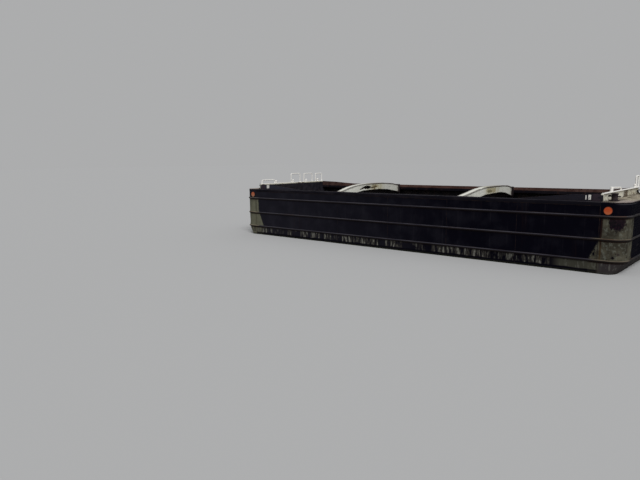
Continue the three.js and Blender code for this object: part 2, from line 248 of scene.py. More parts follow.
def blackCoat(sheet, wide, runs):
    # blackest to the right, greyer and dustier towards the left, with faint upright marks at the ribs
    along = abs(sheet.x)
    dusty = (wide.rise(0.4, 0.7) - 0.35) * 0.35 + runs.rise(0.5, 0.8) * 0.12
    sheet.base(sheet.x.rise(7.0, -9.0) * 0.85 + dusty, "bitumen", "bitumenWorn")
    fromRib = along.math("PINGPONG", along, hull["ribSpacing"] / 2)
    ribs = fromRib.rise(0.03, 0.0) * wide.rise(0.42, 0.62) * runs.rise(0.3, 0.6)
    sheet.coat(ribs * 0.3, "ribMark")
    stained = sheet.grain(0.32, 8, stretch=(1, 1, 9)).rise(0.56, 0.8) * runs.rise(0.4, 0.7)
    sheet.coat(stained * 0.5, "rustDark")


def khakiCoat(sheet, fine, runs):
    # blotched and flaking, with a ragged maroon patch on each corner
    wear = hullWear
    along = abs(sheet.x)
    khaki = sheet.mix(sheet.grain(0.35, 26, detail=7).rise(0.35, 0.62), "khaki", "khakiDark")
    pale = sheet.grain(0.09, 29, detail=8, rough=0.65).rise(0.50, 0.64)
    khaki = sheet.mix(pale * 0.65, khaki, "khakiPale")
    khaki = sheet.mix(runs.rise(0.45, 0.7) * 0.45, khaki, "khakiDark")
    flakes = sheet.grain(0.12, 37, detail=6, stretch=(1, 1, 2)).rise(0.60, 0.72)
    khaki = sheet.mix(flakes, khaki, "bitumen")
    ragged = (sheet.grain(0.12, 23, detail=8, rough=0.72) - 0.5) * 2.0
    patch = along.near(wear["patchAlong"], 0.34) * sheet.z.near(wear["patchHeight"], 0.50) * 1.3 + ragged
    patchColour = sheet.mix(fine.rise(0.4, 0.6), "maroon", "bitumen")
    khaki = sheet.mix(patch.rise(0.30, 0.48) * 0.92, khaki, patchColour)
    spot = along.near(wear["spotAlong"], 0.07) * sheet.z.near(wear["spotHeight"], 0.07)
    khaki = sheet.mix(spot * 0.8, khaki, "maroon")
    return sheet.mix((sheet.x < 0.0) * 0.7, khaki, "khakiLeft")


def scuffedStrip(sheet, fine, wide, bars):
    # upright scuffs between the waterline and the lower rail; gives the strip's mask
    wear = hullWear
    x, z = sheet.x, sheet.z
    lower, foot = railLevels["lower"], wear["stripFoot"]
    stripEnd, solidFrom, scrapedLeft = wear["stripEnd"], wear["solidFrom"], wear["scrapedLeft"]
    strip = (z + (fine - 0.5) * 0.06).rise(lower - 0.03, lower - 0.06)
    unevenFoot = z - (wide - 0.5) * 0.2 + x.rise(stripEnd - 0.25, stripEnd) * 0.12
    strip = strip * unevenFoot.rise(foot - 0.045, foot)
    spread = x.rise(solidFrom - 0.2, solidFrom + 0.2).most(x.rise(scrapedLeft, scrapedLeft - 1.2))
    for low, high in wear["scuffs"]:
        spread = spread.most(x.rise(low - 0.07, low + 0.05) * x.rise(high + 0.07, high - 0.05))
    spread = spread.most(sheet.grain(0.5, 47, detail=3).rise(0.50, 0.62) * 0.5)
    solid = x.rise(solidFrom - 0.4, solidFrom)
    stripColour = sheet.mix(solid, "strip", "stripRight")
    stripColour = sheet.mix(x.rise(stripEnd - 0.15, stripEnd), stripColour, "stripEnd")
    sheet.coat(strip * (spread * bars.rise(0.42, 0.52)).most(solid) * 0.9, stripColour)
    sheet.coat(strip * spread * bars.rise(0.54, 0.62) * (0.9 - solid * 0.55), "paleScrape")
    sheet.coat(z.rise(foot, foot - 0.03) * abs(x).rise(7.8, 7.7) * 0.9, "bitumen")
    return strip


def hullEdges(sheet, fine, worn):
    # rubbed top edge, a painted highlight round each end corner below it, rust with painted shadow along the
    # foot of each rail, weed and silt from the waterline down
    deck = hull["deck"]
    z, along = sheet.z, abs(sheet.x)
    topEdge = z.rise(deck - 0.03, deck - 0.004) * sheet.grain(0.1, 53).rise(0.3, 0.55)
    sheet.coat(topEdge * 0.75, sheet.mix(along.rise(7.95, 8.1), "topEdge", "topEdgeEnd"))
    # a pale line round each end corner just below the deck: painted highlight
    cornerHighlight = z.near(deck - 0.06, 0.016) * along.rise(8.1, 8.3) * abs(sheet.y).rise(1.3, 1.8)
    sheet.coat(cornerHighlight * 0.8, "cornerHighlight")
    # a dark line just below each rail: rust with painted shadow
    ragged = z + (fine - 0.5) * 0.02
    upper, middle, lower = (ragged.near(level - 0.055, 0.045) for level in railLevels.values())
    rusty = upper.most(middle).most(lower) * sheet.grain(0.3, 59).rise(0.25, 0.45)
    sheet.coat(rusty * (worn * 0.75 + 0.2), "rustDark")
    sheet.coat(z.rise(0.53, 0.46) * sheet.grain(0.12, 61).rise(0.25, 0.5) * 0.9, "weed")
    tideLine = z.near(hull["waterline"] + 0.045, 0.03) * sheet.x.rise(7.65, 7.85) * fine.rise(0.35, 0.5)
    sheet.coat(tideLine * 0.8, "tideLine")
    sheet.coat(z.rise(0.40, 0.1) * 0.7, "silt")


def hullFinish():
    wear = hullWear
    sheet = Sheet("hull_bitumen", hullTones)
    z, along, across = sheet.z, abs(sheet.x), abs(sheet.y)
    leftward = sheet.x < 0.0
    fine = sheet.grain(0.05, 3)
    wide = sheet.grain(0.7, 11, detail=6)
    runs = sheet.grain(0.09, 5, detail=5, stretch=(1, 1, 14))
    bars = sheet.grain(0.07, 41, detail=6, rough=0.6, stretch=(1, 1, 4))
    blackCoat(sheet, wide, runs)
    # the ends are worn through to a khaki coat below the upper rail, further inward below the middle one
    edge = wear["khakiFrom"] - z.rise(1.75, 0.75) * wear["khakiLower"] - leftward * wear["khakiLeft"]
    edge = edge + (wide - 0.5) * 0.16 + (fine - 0.5) * 0.09
    worn = (along - edge).rise(-0.02, 0.04)
    worn = worn * (z - railLevels["upper"] - (runs - 0.5) * 0.18).rise(0.0, -0.09)
    # the middle of each end face is left out of the khaki wear: painted shade there
    onFace = along.rise(hull["end"] - 0.03, hull["end"] - 0.015)
    shadedFaceHalf = wear["shadedFaceHalf"]
    worn = worn * (1 - onFace * (across + (fine - 0.5) * 0.12).rise(shadedFaceHalf + 0.06, shadedFaceHalf))
    sheet.coat(worn, khakiCoat(sheet, fine, runs))
    # the middle of each end face is painted black as painted shade, rubbed in level strips
    sheet.coat(onFace * across.rise(shadedFaceHalf + 0.06, shadedFaceHalf - 0.04) * 0.8, "bitumen")
    rubs = sheet.grain(0.05, 33, detail=6, stretch=(1, 12, 1)).rise(0.58, 0.68) * onFace
    rubs = rubs * across.rise(shadedFaceHalf, shadedFaceHalf - 0.3) * wide.rise(0.4, 0.6)
    sheet.coat(rubs * 0.5, "rubbed")
    # dark and rusty upright seam between the hold and the end
    seam = (along - hull["endStart"] - 0.068).near(0.0, 0.058) * runs.rise(0.2, 0.5) * (1 - leftward * 0.75)
    seamRust = z.rise(1.7, 1.3) * sheet.grain(0.2, 19).rise(0.3, 0.5)
    seamColour = sheet.mix(seamRust, "rustDark", "seamRust")
    sheet.coat(seam * z.rise(2.25, 2.15), seamColour)
    strip = scuffedStrip(sheet, fine, wide, bars)
    hullEdges(sheet, fine, worn)
    height = wide * 0.6 + fine * 0.25 + runs * 0.35 + bars * strip * 0.5 - worn * 0.5
    roughness = 0.6 + worn * 0.25 + fine * 0.15 + onFace * 0.25
    return sheet.finish(roughness, height=height, depth=0.005, specular=0.02)


# Bare and coated steel: hold, deck, gunwales, rails, castings and welds

holdTones = {
    "coal": (0.0085, 0.0080, 0.012),
    "coalPale": (0.024, 0.019, 0.020),
    "rust": (0.050, 0.024, 0.016),
    "scoured": (0.075, 0.07, 0.072),
    "floor": (0.030, 0.024, 0.022),
    "floorPale": (0.055, 0.04, 0.034),
    "dust": (0.0075, 0.007, 0.008),
    "tracks": (0.09, 0.082, 0.08),
    "lowest": (0.045, 0.030, 0.024),
}


def holdFinish():
    # scoured by grabs, black with coal dust and painted shade
    sheet = Sheet("hold_steel", holdTones)
    runs = sheet.grain(0.12, 2, detail=6, stretch=(1, 1, 8))
    blotch = sheet.grain(0.5, 6, detail=7)
    scrape = sheet.grain(0.035, 9, detail=3, stretch=(18, 18, 1))
    upright = sheet.grain(0.03, 10, detail=3, stretch=(1, 1, 22))
    # near-black base: coal dust with painted shade for the shaded hold
    sheet.base(blotch.rise(0.38, 0.66), "coal", "coalPale")
    sheet.coat(runs.rise(0.52, 0.78) * 0.7, "rust")
    scoured = scrape.rise(0.6, 0.72).most(upright.rise(0.6, 0.7)) * blotch.rise(0.5, 0.7)
    sheet.coat(scoured * 0.6, "scoured")
    flat = sheet.upward().rise(0.5, 0.9)
    sheet.coat(flat * 0.8, sheet.mix(blotch.rise(0.4, 0.6), "floor", "floorPale"))
    dust = flat * sheet.grain(0.9, 14, detail=7, rough=0.65).rise(0.44, 0.54)
    sheet.coat(dust * 0.85, "dust")
    tracks = sheet.grain(0.05, 20, detail=2, stretch=(30, 1, 1)).rise(0.62, 0.7) * flat
    sheet.coat(tracks * 0.6, "tracks")
    lowest = sheet.z.rise(0.7, 0.1) * sheet.grain(0.3, 15).rise(0.35, 0.6)
    sheet.coat(lowest * 0.5 * (1 - flat), "lowest")
    height = blotch * 0.8 + runs * 0.3 + scrape * 0.2 + sheet.grain(0.02, 16) * 0.25 + dust * 0.4
    return sheet.finish(0.7 + blotch * 0.2 - scoured * 0.2, metal=scoured * 0.4, height=height,
                        depth=0.006, specular=0.2)


deckTones = {
    "cream": (0.165, 0.142, 0.112),
    "creamPale": (0.335, 0.30, 0.225),
    "outer": (0.29, 0.24, 0.225),
    "nearWall": (0.070, 0.058, 0.050),
    "rust": (0.080, 0.046, 0.028),
    "flecks": (0.36, 0.33, 0.29),
    "wet": (0.045, 0.037, 0.033),
    "wallFoot": (0.060, 0.036, 0.024),
    "border": (0.055, 0.038, 0.044),
}


def deckFinish():
    # trodden plate: olive cream with rust stains, rubbed pinkish white along its outer edge, with a painted
    # shadow line along its end edge
    sheet = Sheet("deck_steel", deckTones)
    along, across = abs(sheet.x), abs(sheet.y)
    blotch = sheet.grain(0.35, 4, detail=7)
    fine = sheet.grain(0.02, 7, detail=5)
    sheet.base(blotch.rise(0.36, 0.58), "cream", "creamPale")
    outer = (along + (blotch - 0.5) * 0.2).rise(8.03, 8.12) * across.rise(1.2, 1.7)
    sheet.coat(outer * 0.8, "outer")
    nearWall = sheet.y.rise(-0.7, -1.3) * along.rise(8.14, 8.04)
    sheet.coat(nearWall * 0.75, "nearWall")
    sheet.coat(sheet.grain(0.12, 12, detail=7).rise(0.57, 0.67) * 0.7, "rust")
    sheet.coat(fine.rise(0.58, 0.7) * blotch.rise(0.45, 0.6) * 0.5, "flecks")
    wet = sheet.grain(0.6, 24, detail=5).rise(0.58, 0.62)
    sheet.coat(wet * 0.5, "wet")
    wallFoot = along.rise(hull["endStart"] + 0.12, hull["endStart"])
    stain = abs(sheet.y + 0.15).rise(0.75, 0.3) * sheet.grain(0.15, 26).rise(0.3, 0.5)
    sheet.coat(wallFoot * (stain * 0.5 + 0.35), "wallFoot")
    # a dark strip along the deck's end edge: painted shadow
    border = along.rise(hull["end"] - 0.035, hull["end"] - 0.01) * across.rise(1.9, 1.6)
    sheet.coat(border * 0.7, "border")
    height = blotch * 0.5 + fine * 0.6
    return sheet.finish(0.65 + fine * 0.25 - wet * 0.2, height=height, depth=0.003, specular=0.15)


gunwaleTones = {
    "black": (0.0035, 0.0030, 0.0055),
    "blackPale": (0.0105, 0.0085, 0.0115),
    "inside": (0.026, 0.011, 0.009),
    "tread": (0.0060, 0.0055, 0.0090),
    "treadPale": (0.0150, 0.0140, 0.0190),
    "treadRust": (0.026, 0.015, 0.013),
    "red": (0.052, 0.025, 0.020),
    "redPale": (0.098, 0.052, 0.043),
    "redDark": (0.028, 0.013, 0.011),
    "redTop": (0.14, 0.105, 0.098),
    "rubbed": (0.030, 0.027, 0.036),
    "rubbedEnd": (0.080, 0.072, 0.078),
}


def gunwaleFinish():
    # nearly black bars with a trodden top; the coaming on the far one is rust red
    side, deck = hull["side"], hull["deck"]
    sheet = Sheet("gunwale_rust", gunwaleTones)
    across = abs(sheet.y)
    blotch = sheet.grain(0.3, 5, detail=7, stretch=(3, 1, 1))
    fine = sheet.grain(0.03, 8, detail=5)
    rusty = sheet.grain(0.2, 18, detail=5)
    black = sheet.mix(blotch.rise(0.4, 0.7), "black", "blackPale")
    inside = across.rise(side - 0.03, side - 0.06)
    black = sheet.mix(inside * rusty.rise(0.54, 0.66) * 0.6, black, "inside")
    top = sheet.upward().rise(0.4, 0.9)
    tread = sheet.mix(blotch.rise(0.4, 0.62), "tread", "treadPale")
    tread = sheet.mix(rusty.rise(0.56, 0.66) * 0.5, tread, "treadRust")
    sheet.base(top, black, tread)
    red = sheet.mix(blotch.rise(0.35, 0.65), "red", "redPale")
    red = sheet.mix(rusty.rise(0.56, 0.68) * 0.5, red, "redDark")
    red = sheet.mix(top * 0.6, red, "redTop")
    sheet.coat(sheet.z.rise(deck + 0.001, deck + 0.012), red)
    rubbed = sheet.z.near(deck, 0.018) * across.rise(side - 0.04, side)
    rubbed = rubbed * sheet.grain(0.25, 21, stretch=(4, 1, 1)).rise(0.3, 0.5) * 0.8
    rubbedColour = sheet.mix(abs(sheet.x).rise(6.6, 7.4), "rubbed", "rubbedEnd")
    sheet.coat(rubbed, rubbedColour)
    height = blotch * 0.6 + fine * 0.4
    return sheet.finish(0.72 + fine * 0.22, height=height, depth=0.003, specular=0.06)


railTones = {
    "grey": (0.021, 0.020, 0.029),
    "greyPale": (0.046, 0.044, 0.055),
    "khaki": (0.058, 0.044, 0.030),
    "khakiPale": (0.105, 0.088, 0.062),
    "left": (0.070, 0.068, 0.080),
    "leftEnd": (0.20, 0.175, 0.125),
    "endFaceShade": (0.0075, 0.0065, 0.0085),
    "rust": (0.060, 0.028, 0.016),
    "bare": (0.13, 0.125, 0.13),
    "under": (0.0065, 0.0038, 0.0042),
}


def railFinish():
    # rubbed steel: violet-grey upper face, its underside painted rust-dark as painted shade
    sheet = Sheet("rail_steel", railTones)
    along, across, leftward = abs(sheet.x), abs(sheet.y), sheet.x < 0.0
    blotch = sheet.grain(0.25, 6, detail=7, stretch=(3, 1, 1))
    fine = sheet.grain(0.025, 9, detail=5)
    runs = sheet.grain(0.5, 13, stretch=(3, 1, 1))
    upper = sheet.upward().rise(0.02, 0.42)
    grey = sheet.mix(blotch.rise(0.35, 0.65), "grey", "greyPale")
    khaki = sheet.mix(blotch.rise(0.3, 0.6), "khaki", "khakiPale")
    endward = along.rise(7.45, 7.75) * across.rise(1.2, 1.8)
    below = sheet.z.rise(railLevels["upper"] - 0.06, railLevels["upper"] - 0.1)
    sheet.base(endward * (below * 0.75 + 0.2), grey, khaki)
    sheet.coat(leftward * 0.2, "left")
    sheet.coat(leftward * endward * (below * 0.55 + 0.25), "leftEnd")
    # rails across the end face darkened: painted shade
    endFaceShade = along.rise(hull["end"] - 0.1, hull["end"]) * across.rise(2.25, 2.0)
    sheet.coat(endFaceShade * 0.85, "endFaceShade")
    sheet.coat(runs.rise(0.56, 0.68) * (endward * 0.5 + 0.2), "rust")
    sheet.coat(fine.rise(0.62, 0.72) * 0.4, "bare")
    # the downward half painted near black: painted shade with a rust tint
    sheet.coat((1 - upper) * 0.95, "under")
    height = blotch * 0.5 + fine * 0.5
    return sheet.finish(0.7 - blotch * 0.1, height=height, depth=0.003, specular=0.12)


ironTones = {
    "iron": (0.0085, 0.0052, 0.0070),
    "brown": (0.024, 0.015, 0.017),
    "rope": (0.060, 0.048, 0.045),
}


def ironFinish():
    # near-black casting with a reddish tinge, browner where ropes have rubbed it
    sheet = Sheet("dark_iron", ironTones)
    blotch = sheet.grain(0.1, 3, detail=7)
    fine = sheet.grain(0.012, 5, detail=5)
    sheet.base(blotch.rise(0.4, 0.65), "iron", "brown")
    rope = sheet.z.near(hull["deck"] + 0.09, 0.05) * fine.rise(0.35, 0.6)
    sheet.coat(rope * 0.6, "rope")
    return sheet.finish(0.72 - rope * 0.3, metal=rope * 0.4, height=blotch * 0.4 + fine * 0.6,
                        depth=0.003, specular=0.2)


weldTones = {
    "scale": (0.0050, 0.0042, 0.0065),
    "rust": (0.020, 0.011, 0.009),
}


def weldFinish():
    # dark scale with rust in it
    sheet = Sheet("weld_scale", weldTones)
    blotch = sheet.grain(0.15, 3, detail=6)
    fine = sheet.grain(0.01, 5)
    sheet.base(blotch.rise(0.4, 0.62), "scale", "rust")
    return sheet.finish(0.7 + fine * 0.2, height=fine, specular=0.08)


# Painted steel: each has its paint, its dirt and the rust under it

def paintedFinish(name, tones, seed, chip=0.66, stain=0.62, drip=9, size=1.0):
    # chalky paint with chips down to rust, runs below them and grime
    sheet = Sheet(name, {**tones, "scar": [part * 0.32 for part in tones["rust"]]})
    blotch = sheet.grain(0.22 * size, seed, detail=7)
    fine = sheet.grain(0.014 * size, seed + 3, detail=5)
    runs = sheet.grain(0.035 * size, seed + 5, detail=5, stretch=(1, 1, drip))
    chips = sheet.grain(0.05 * size, seed + 7, detail=8, rough=0.65)
    sheet.base(blotch.rise(0.32, 0.7) * 0.5 + runs.rise(0.5, 0.75) * 0.3, "paint", "dirt")
    sheet.coat(runs.rise(stain, stain + 0.12) * blotch.rise(0.42, 0.6) * 0.75, "rust")
    flaked = chips.rise(chip, chip + 0.02)
    sheet.coat(chips.rise(chip - 0.05, chip) * 0.5, "rust")
    sheet.coat(flaked, "scar")
    return sheet, {"blotch": blotch, "fine": fine, "runs": runs, "flaked": flaked}


def closePainted(sheet, marks, rough=0.52, depth=0.0015, specular=0.3):
    height = marks["blotch"] * 0.4 + marks["fine"] * 0.4 - marks["flaked"] * 0.8
    roughness = marks["fine"] * 0.25 + marks["flaked"] * 0.3 + rough
    return sheet.finish(roughness, height=height, depth=depth, specular=specular)


fittingTones = {
    "paint": (0.82, 0.805, 0.77),
    "dirt": (0.58, 0.55, 0.50),
    "rust": (0.20, 0.09, 0.045),
}


def fittingFinish():
    return closePainted(*paintedFinish("fitting_white", fittingTones, 17, stain=0.66, size=0.6))


beamTones = {
    "paint": (0.74, 0.745, 0.68),
    "dirt": (0.52, 0.51, 0.44),
    "rust": (0.24, 0.155, 0.075),
    "farGrey": (0.34, 0.34, 0.31),
    "yellowed": (0.34, 0.30, 0.15),
    "brown": (0.13, 0.085, 0.04),
    "ochre": (0.33, 0.285, 0.155),
    "olive": (0.135, 0.120, 0.062),
    "streak": (0.045, 0.029, 0.011),
    "endGrime": (0.12, 0.085, 0.06),
    "trodden": (0.30, 0.29, 0.28),
    "inside": (0.020, 0.010, 0.007),
    "edges": (0.050, 0.030, 0.026),
    "underside": (0.030, 0.024, 0.021),
}
beam = {
    "places": {end: boxOf(f"cross_beam_{end}")[2].x for end in ends},
    "end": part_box("cross_beam_right")[1].y,
    "web": 0.23,            # over both webs
    "flange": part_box("cross_beam_right")[1].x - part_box("cross_beam_right")[0].x,
    "flangeThick": 0.035,
    "footThick": 0.012,     # the narrow plate along the underside
    "sheetThick": 0.010,
    "slack": 0.003,         # how far webs and flanges stay inside the solid's outline
    "bulge": 0.004,
    "sway": 0.003,
    "bevel": 0.004,
    "eased": 0.12,          # how far the corners of the lines below are rounded off
    "cells": {"plain": 0.06, "rusted": 0.02},
    "rows": {"plain": 8, "rusted": 25},
    # top line and underside from the near side to the far one: y and height
    "top": {
        "left": [(-2.24, 2.645), (-1.66, 2.792), (-1.15, 2.875), (-0.70, 2.910),
                 (-0.40, 2.920), (0.90, 2.920), (1.70, 2.865), (2.24, 2.775)],
        "right": [(-2.24, 2.632), (-1.55, 2.728), (-0.90, 2.828), (-0.30, 2.885),
                  (0.10, 2.895), (1.30, 2.895), (1.85, 2.868), (2.24, 2.785)],
    },
    "under": {
        "left": [(-2.24, 2.380), (-1.70, 2.470), (-1.10, 2.556), (-0.60, 2.625),
                 (0.65, 2.638), (1.30, 2.598), (1.90, 2.505), (2.24, 2.445)],
        "right": [(-2.24, 2.370), (-1.30, 2.475), (-0.75, 2.530), (-0.30, 2.592),
                  (0.40, 2.615), (1.10, 2.630), (1.60, 2.585), (2.24, 2.440)],
    },
}


def beamStains(sheet):
    # ochre on both beams, with a dark streak beside the hole in the left one
    y, z = sheet.y, sheet.z
    onLeft, onRight = sheet.x < 0.0, sheet.x > 0.0
    rough = (sheet.grain(0.05, 36, detail=6) - 0.5) * 0.7
    ochre = y.near(0.30, 0.46) * z.near(2.775, 0.11) * onLeft
    ochre = ochre.most(y.near(0.22, 0.66) * z.near(2.740, 0.15) * onRight)
    olive = y.near(0.10, 0.30) * z.near(2.705, 0.085) * onRight
    streak = y.near(0.18, 0.40) * (z - y * 0.10).near(2.720, 0.042)
    streak = streak.most(y.near(-0.62, 0.32) * (z - y * 0.22).near(2.862, 0.045)) * onLeft
    sheet.coat((ochre + rough).rise(0.12, 0.45) * ochre.rise(0.0, 0.15) * 0.75, "ochre")
    sheet.coat((olive + rough).rise(0.10, 0.40) * olive.rise(0.0, 0.2) * 0.8, "olive")
    sheet.coat((streak + rough).rise(0.10, 0.30) * streak.rise(0.0, 0.15), "streak")


def beamFinish():
    # off-white webs, yellow-brown at the middle and greyer beyond it; the inside painted rust-black and the
    # undersides dark, both as painted shade
    sheet, marks = paintedFinish("beam_white", beamTones, 31, chip=0.70)
    y, up = sheet.y, sheet.upward()
    sheet.coat(y.rise(0.5, 1.1) * 0.4, "farGrey")
    fromMiddle = abs(y - 0.32)
    blots = sheet.grain(0.12, 35, detail=6, stretch=(1, 1, 2))
    yellowed = fromMiddle.rise(0.95, 0.25) * (blots.rise(0.4, 0.6) * 0.45 + 0.3)
    sheet.coat(yellowed, "yellowed")
    sheet.coat(fromMiddle.rise(0.45, 0.1) * blots.rise(0.52, 0.62) * 0.8, "brown")
    beamStains(sheet)
    endGrime = abs(y).rise(2.05, 2.24) * sheet.grain(0.1, 39).rise(0.35, 0.6)
    sheet.coat(endGrime * 0.8, "endGrime")
    sheet.coat(up.rise(0.6, 0.9) * y.rise(-0.3, 0.5) * 0.6, "trodden")
    web, flange = beam["web"] / 2, beam["flange"] / 2
    fromBeam = abs(sheet.x - beam["places"]["right"]).least(abs(sheet.x - beam["places"]["left"]))
    # the girder's inside painted rust-black: painted shade
    inside = fromBeam.rise(web - 0.004, web - 0.008) * up.rise(0.3, 0.0)
    sheet.coat(inside, "inside")
    # dark flange edges and a dark rim along the flange's top: rust with painted shadow
    flangeEdgeRustAndShade = fromBeam.rise(flange - 0.010, flange - 0.005)
    flangeEdgeRustAndShade = flangeEdgeRustAndShade * abs(up).rise(0.6, 0.4) * (y.rise(-0.9, 0.3) * 0.4 + 0.55)
    border = fromBeam.rise(flange - 0.060, flange - 0.040) * up.rise(0.4, 0.6)
    border = border * marks["blotch"].rise(0.3, 0.5) * 0.7
    sheet.coat(flangeEdgeRustAndShade.most(border), "edges")
    # downward faces painted dark: painted shade
    sheet.coat(up.rise(-0.3, -0.9), "underside")
    return closePainted(sheet, marks)


endWallTones = {
    "paint": (0.66, 0.645, 0.56),
    "dirt": (0.42, 0.395, 0.31),
    "rust": (0.15, 0.090, 0.045),
    "olive": (0.40, 0.37, 0.27),
    "spots": (0.105, 0.066, 0.036),
    "stain": (0.075, 0.048, 0.025),
    "foot": (0.07, 0.045, 0.032),
    "shadedSlots": (0.008, 0.006, 0.009),
    "inside": (0.0085, 0.008, 0.012),
    "insidePale": (0.020, 0.018, 0.024),
    "insideRust": (0.035, 0.018, 0.014),
}
endWallMarks = {
    "oliveFrom": 0.62,
    "stainAt": 0.44,
    # dark patches painted as the shade of slots in the right wall's deck side
    "shadedSlots": ({"y": (-1.80, -1.49), "z": (2.755, 2.815)}, {"y": (2.10, 2.26), "z": (2.69, 2.79)}),
    "bandDepth": 0.04,      # the white band on the hold side, below the coping
}


def endWallFinish():
    # cream towards the deck with brown stains; dark towards the hold below a white band, grime with painted
    # shade
    sheet, marks = paintedFinish("end_wall_cream", endWallTones, 43, stain=0.60, drip=8)
    y, z, deck = sheet.y, sheet.z, hull["deck"]
    olive = y.rise(endWallMarks["oliveFrom"], endWallMarks["oliveFrom"] + 0.28)
    sheet.coat(olive * 0.55, "olive")
    spots = sheet.grain(0.07, 50, detail=6, stretch=(1, 1, 1.6)).rise(0.56, 0.64)
    sheet.coat(spots * (olive * 0.5 + 0.3), "spots")
    stained = abs(y - endWallMarks["stainAt"]).rise(0.42, 0.2)
    stained = stained * sheet.grain(0.10, 49, detail=5, stretch=(1, 1, 3)).rise(0.36, 0.5)
    sheet.coat(stained * 0.9, "stain")
    foot = z.rise(deck + 0.05, deck) * sheet.grain(0.07, 51).rise(0.35, 0.6)
    sheet.coat(foot * 0.7, "foot")
    # dark patches standing for slots: painted shade
    nearSlot, farSlot = (sheet.panel(spans) for spans in endWallMarks["shadedSlots"])
    sheet.coat(nearSlot.most(farSlot) * (sheet.x > 0.0), "shadedSlots")
    # the hold side painted near black below the white band: grime with painted shade
    inside = sheet.mix(marks["blotch"].rise(0.35, 0.65), "inside", "insidePale")
    inside = sheet.mix(marks["runs"].rise(0.55, 0.7) * 0.6, inside, "insideRust")
    toHold = abs(sheet.x).rise(hull["endStart"] - 0.010, hull["endStart"] - 0.014)
    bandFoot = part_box("end_coping_right")[0].z - endWallMarks["bandDepth"]
    band = (z + (marks["fine"] - 0.5) * 0.02).rise(bandFoot, bandFoot + 0.006)
    sheet.coat(toHold * (1 - band), inside)
    return closePainted(sheet, marks, rough=0.65, depth=0.003, specular=0.12)


wingTones = {
    "paint": (0.0150, 0.0142, 0.0210),
    "dirt": (0.0095, 0.009, 0.0125),
    "rust": (0.035, 0.018, 0.014),
    "left": (0.028, 0.029, 0.042),
    "atWall": (0.034, 0.024, 0.032),
    "top": (0.045, 0.042, 0.048),
    "block": (0.66, 0.645, 0.60),
    "red": (0.052, 0.025, 0.020),
    "redPale": (0.098, 0.055, 0.046),
    "redLeft": (0.026, 0.017, 0.017),
}
# plain white blocks on the near side
wingBlocks = [
    {"x": (7.205, 7.235), "z": (2.685, 2.82)},
    {"x": (7.288, 7.366), "z": (2.685, 2.84)},
    {"x": (-7.285, -7.11), "z": (2.685, 2.84)},
]
wingNearFace = -2.28        # only the outer face of the near plates lies beyond this


def wingFinish():
    # dull purplish black outside, rust red towards the hold
    sheet, marks = paintedFinish("wing_grey", wingTones, 57, chip=0.63)
    sheet.coat((sheet.x < 0.0) * 0.8, "left")
    atWall = abs(sheet.x).rise(7.36, 7.46) * sheet.grain(0.2, 58).rise(0.25, 0.45)
    sheet.coat(atWall * 0.8, "atWall")
    sheet.coat(sheet.upward().rise(0.5, 0.9) * marks["blotch"].rise(0.35, 0.6) * 0.5, "top")
    chipped = sheet.grain(0.03, 63, detail=7).rise(0.62, 0.58)
    onNearFace = sheet.y < wingNearFace
    for block in wingBlocks:
        sheet.coat(sheet.panel(block) * onNearFace * chipped, "block")
    red = sheet.mix(marks["blotch"].rise(0.35, 0.65), "red", "redPale")
    red = sheet.mix(sheet.x.rise(-5.0, -7.6) * 0.5, red, "redLeft")
    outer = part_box("wing_plate_right_far")[1].y
    toHold = abs(sheet.y).rise(outer - 0.012, outer - 0.016)
    sheet.coat(toHold, red)
    return closePainted(sheet, marks, rough=0.6, specular=0.08)


discTones = {
    "paint": (0.42, 0.062, 0.014),
    "dirt": (0.29, 0.052, 0.017),
    "rust": (0.12, 0.035, 0.02),
    "faded": (0.50, 0.17, 0.07),
    "fadedLeft": (0.23, 0.165, 0.105),
    "rim": (0.060, 0.018, 0.010),
}


def discFinish():
    # warning orange, faded towards its lower edge, more so at the left end
    sheet, marks = paintedFinish("disc_orange", discTones, 67, chip=0.68, size=0.7)
    low, high, middle = boxOf("disc_right_near")
    faded = sheet.z.rise(middle.z + 0.03, low.z + 0.02) * sheet.grain(0.13, 69, detail=3).rise(0.3, 0.5)
    sheet.coat(faded * 0.4, "faded")
    sheet.coat((faded * 0.6 + 0.3) * (sheet.x < 0.0), "fadedLeft")
    fromMiddle = abs(abs(sheet.x) - middle.x)
    fromLevel = abs(sheet.z - middle.z)
    radius = (high.z - low.z) / 2
    spread = fromMiddle * fromMiddle + fromLevel * fromLevel
    rim = spread.rise((radius * 0.80) ** 2, (radius * 0.98) ** 2)
    sheet.coat(rim * 0.85, "rim")
    return closePainted(sheet, marks, rough=0.5, specular=0.15)


finishes = {
    "hull": hullFinish(),
    "hold": holdFinish(),
    "deck": deckFinish(),
    "gunwale": gunwaleFinish(),
    "rail": railFinish(),
    "fitting": fittingFinish(),
    "beam": beamFinish(),
    "endWall": endWallFinish(),
    "wing": wingFinish(),
    "disc": discFinish(),
    "iron": ironFinish(),
    "weld": weldFinish(),
}
print("finishes made:", len(finishes))


# Mesh helpers

def place(name, bm, finishNames, nodes=(), sharp=35):
    # the finished mesh as a piece of the barge; a face's material index picks among its finishes
    bmesh.ops.recalc_face_normals(bm, faces=bm.faces)
    mesh = bpy.data.meshes.new(name)
    bm.to_mesh(mesh)
    bm.free()
    for finish in finishNames.split():
        mesh.materials.append(finishes[finish])
    mesh.shade_smooth()
    mesh.set_sharp_from_angle(angle=math.radians(sharp))
    piece = bpy.data.objects.new(name, mesh)
    bpy.context.scene.collection.objects.link(piece)
    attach(piece, "root")
    if nodes:
        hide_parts(*nodes)


def skin(bm, rings, caps=True):
    # faces between neighbouring rings of points, and the two end faces
    rows = [[bm.verts.new(point) for point in ring] for ring in rings]
    count = len(rows[0])
    for row, following in zip(rows, rows[1:]):
        for step in range(count):
            after = (step + 1) % count
            bm.faces.new((row[step], row[after], following[after], following[step]))
    if caps:
        bm.faces.new(rows[0][::-1])
        bm.faces.new(rows[-1])
    return rows


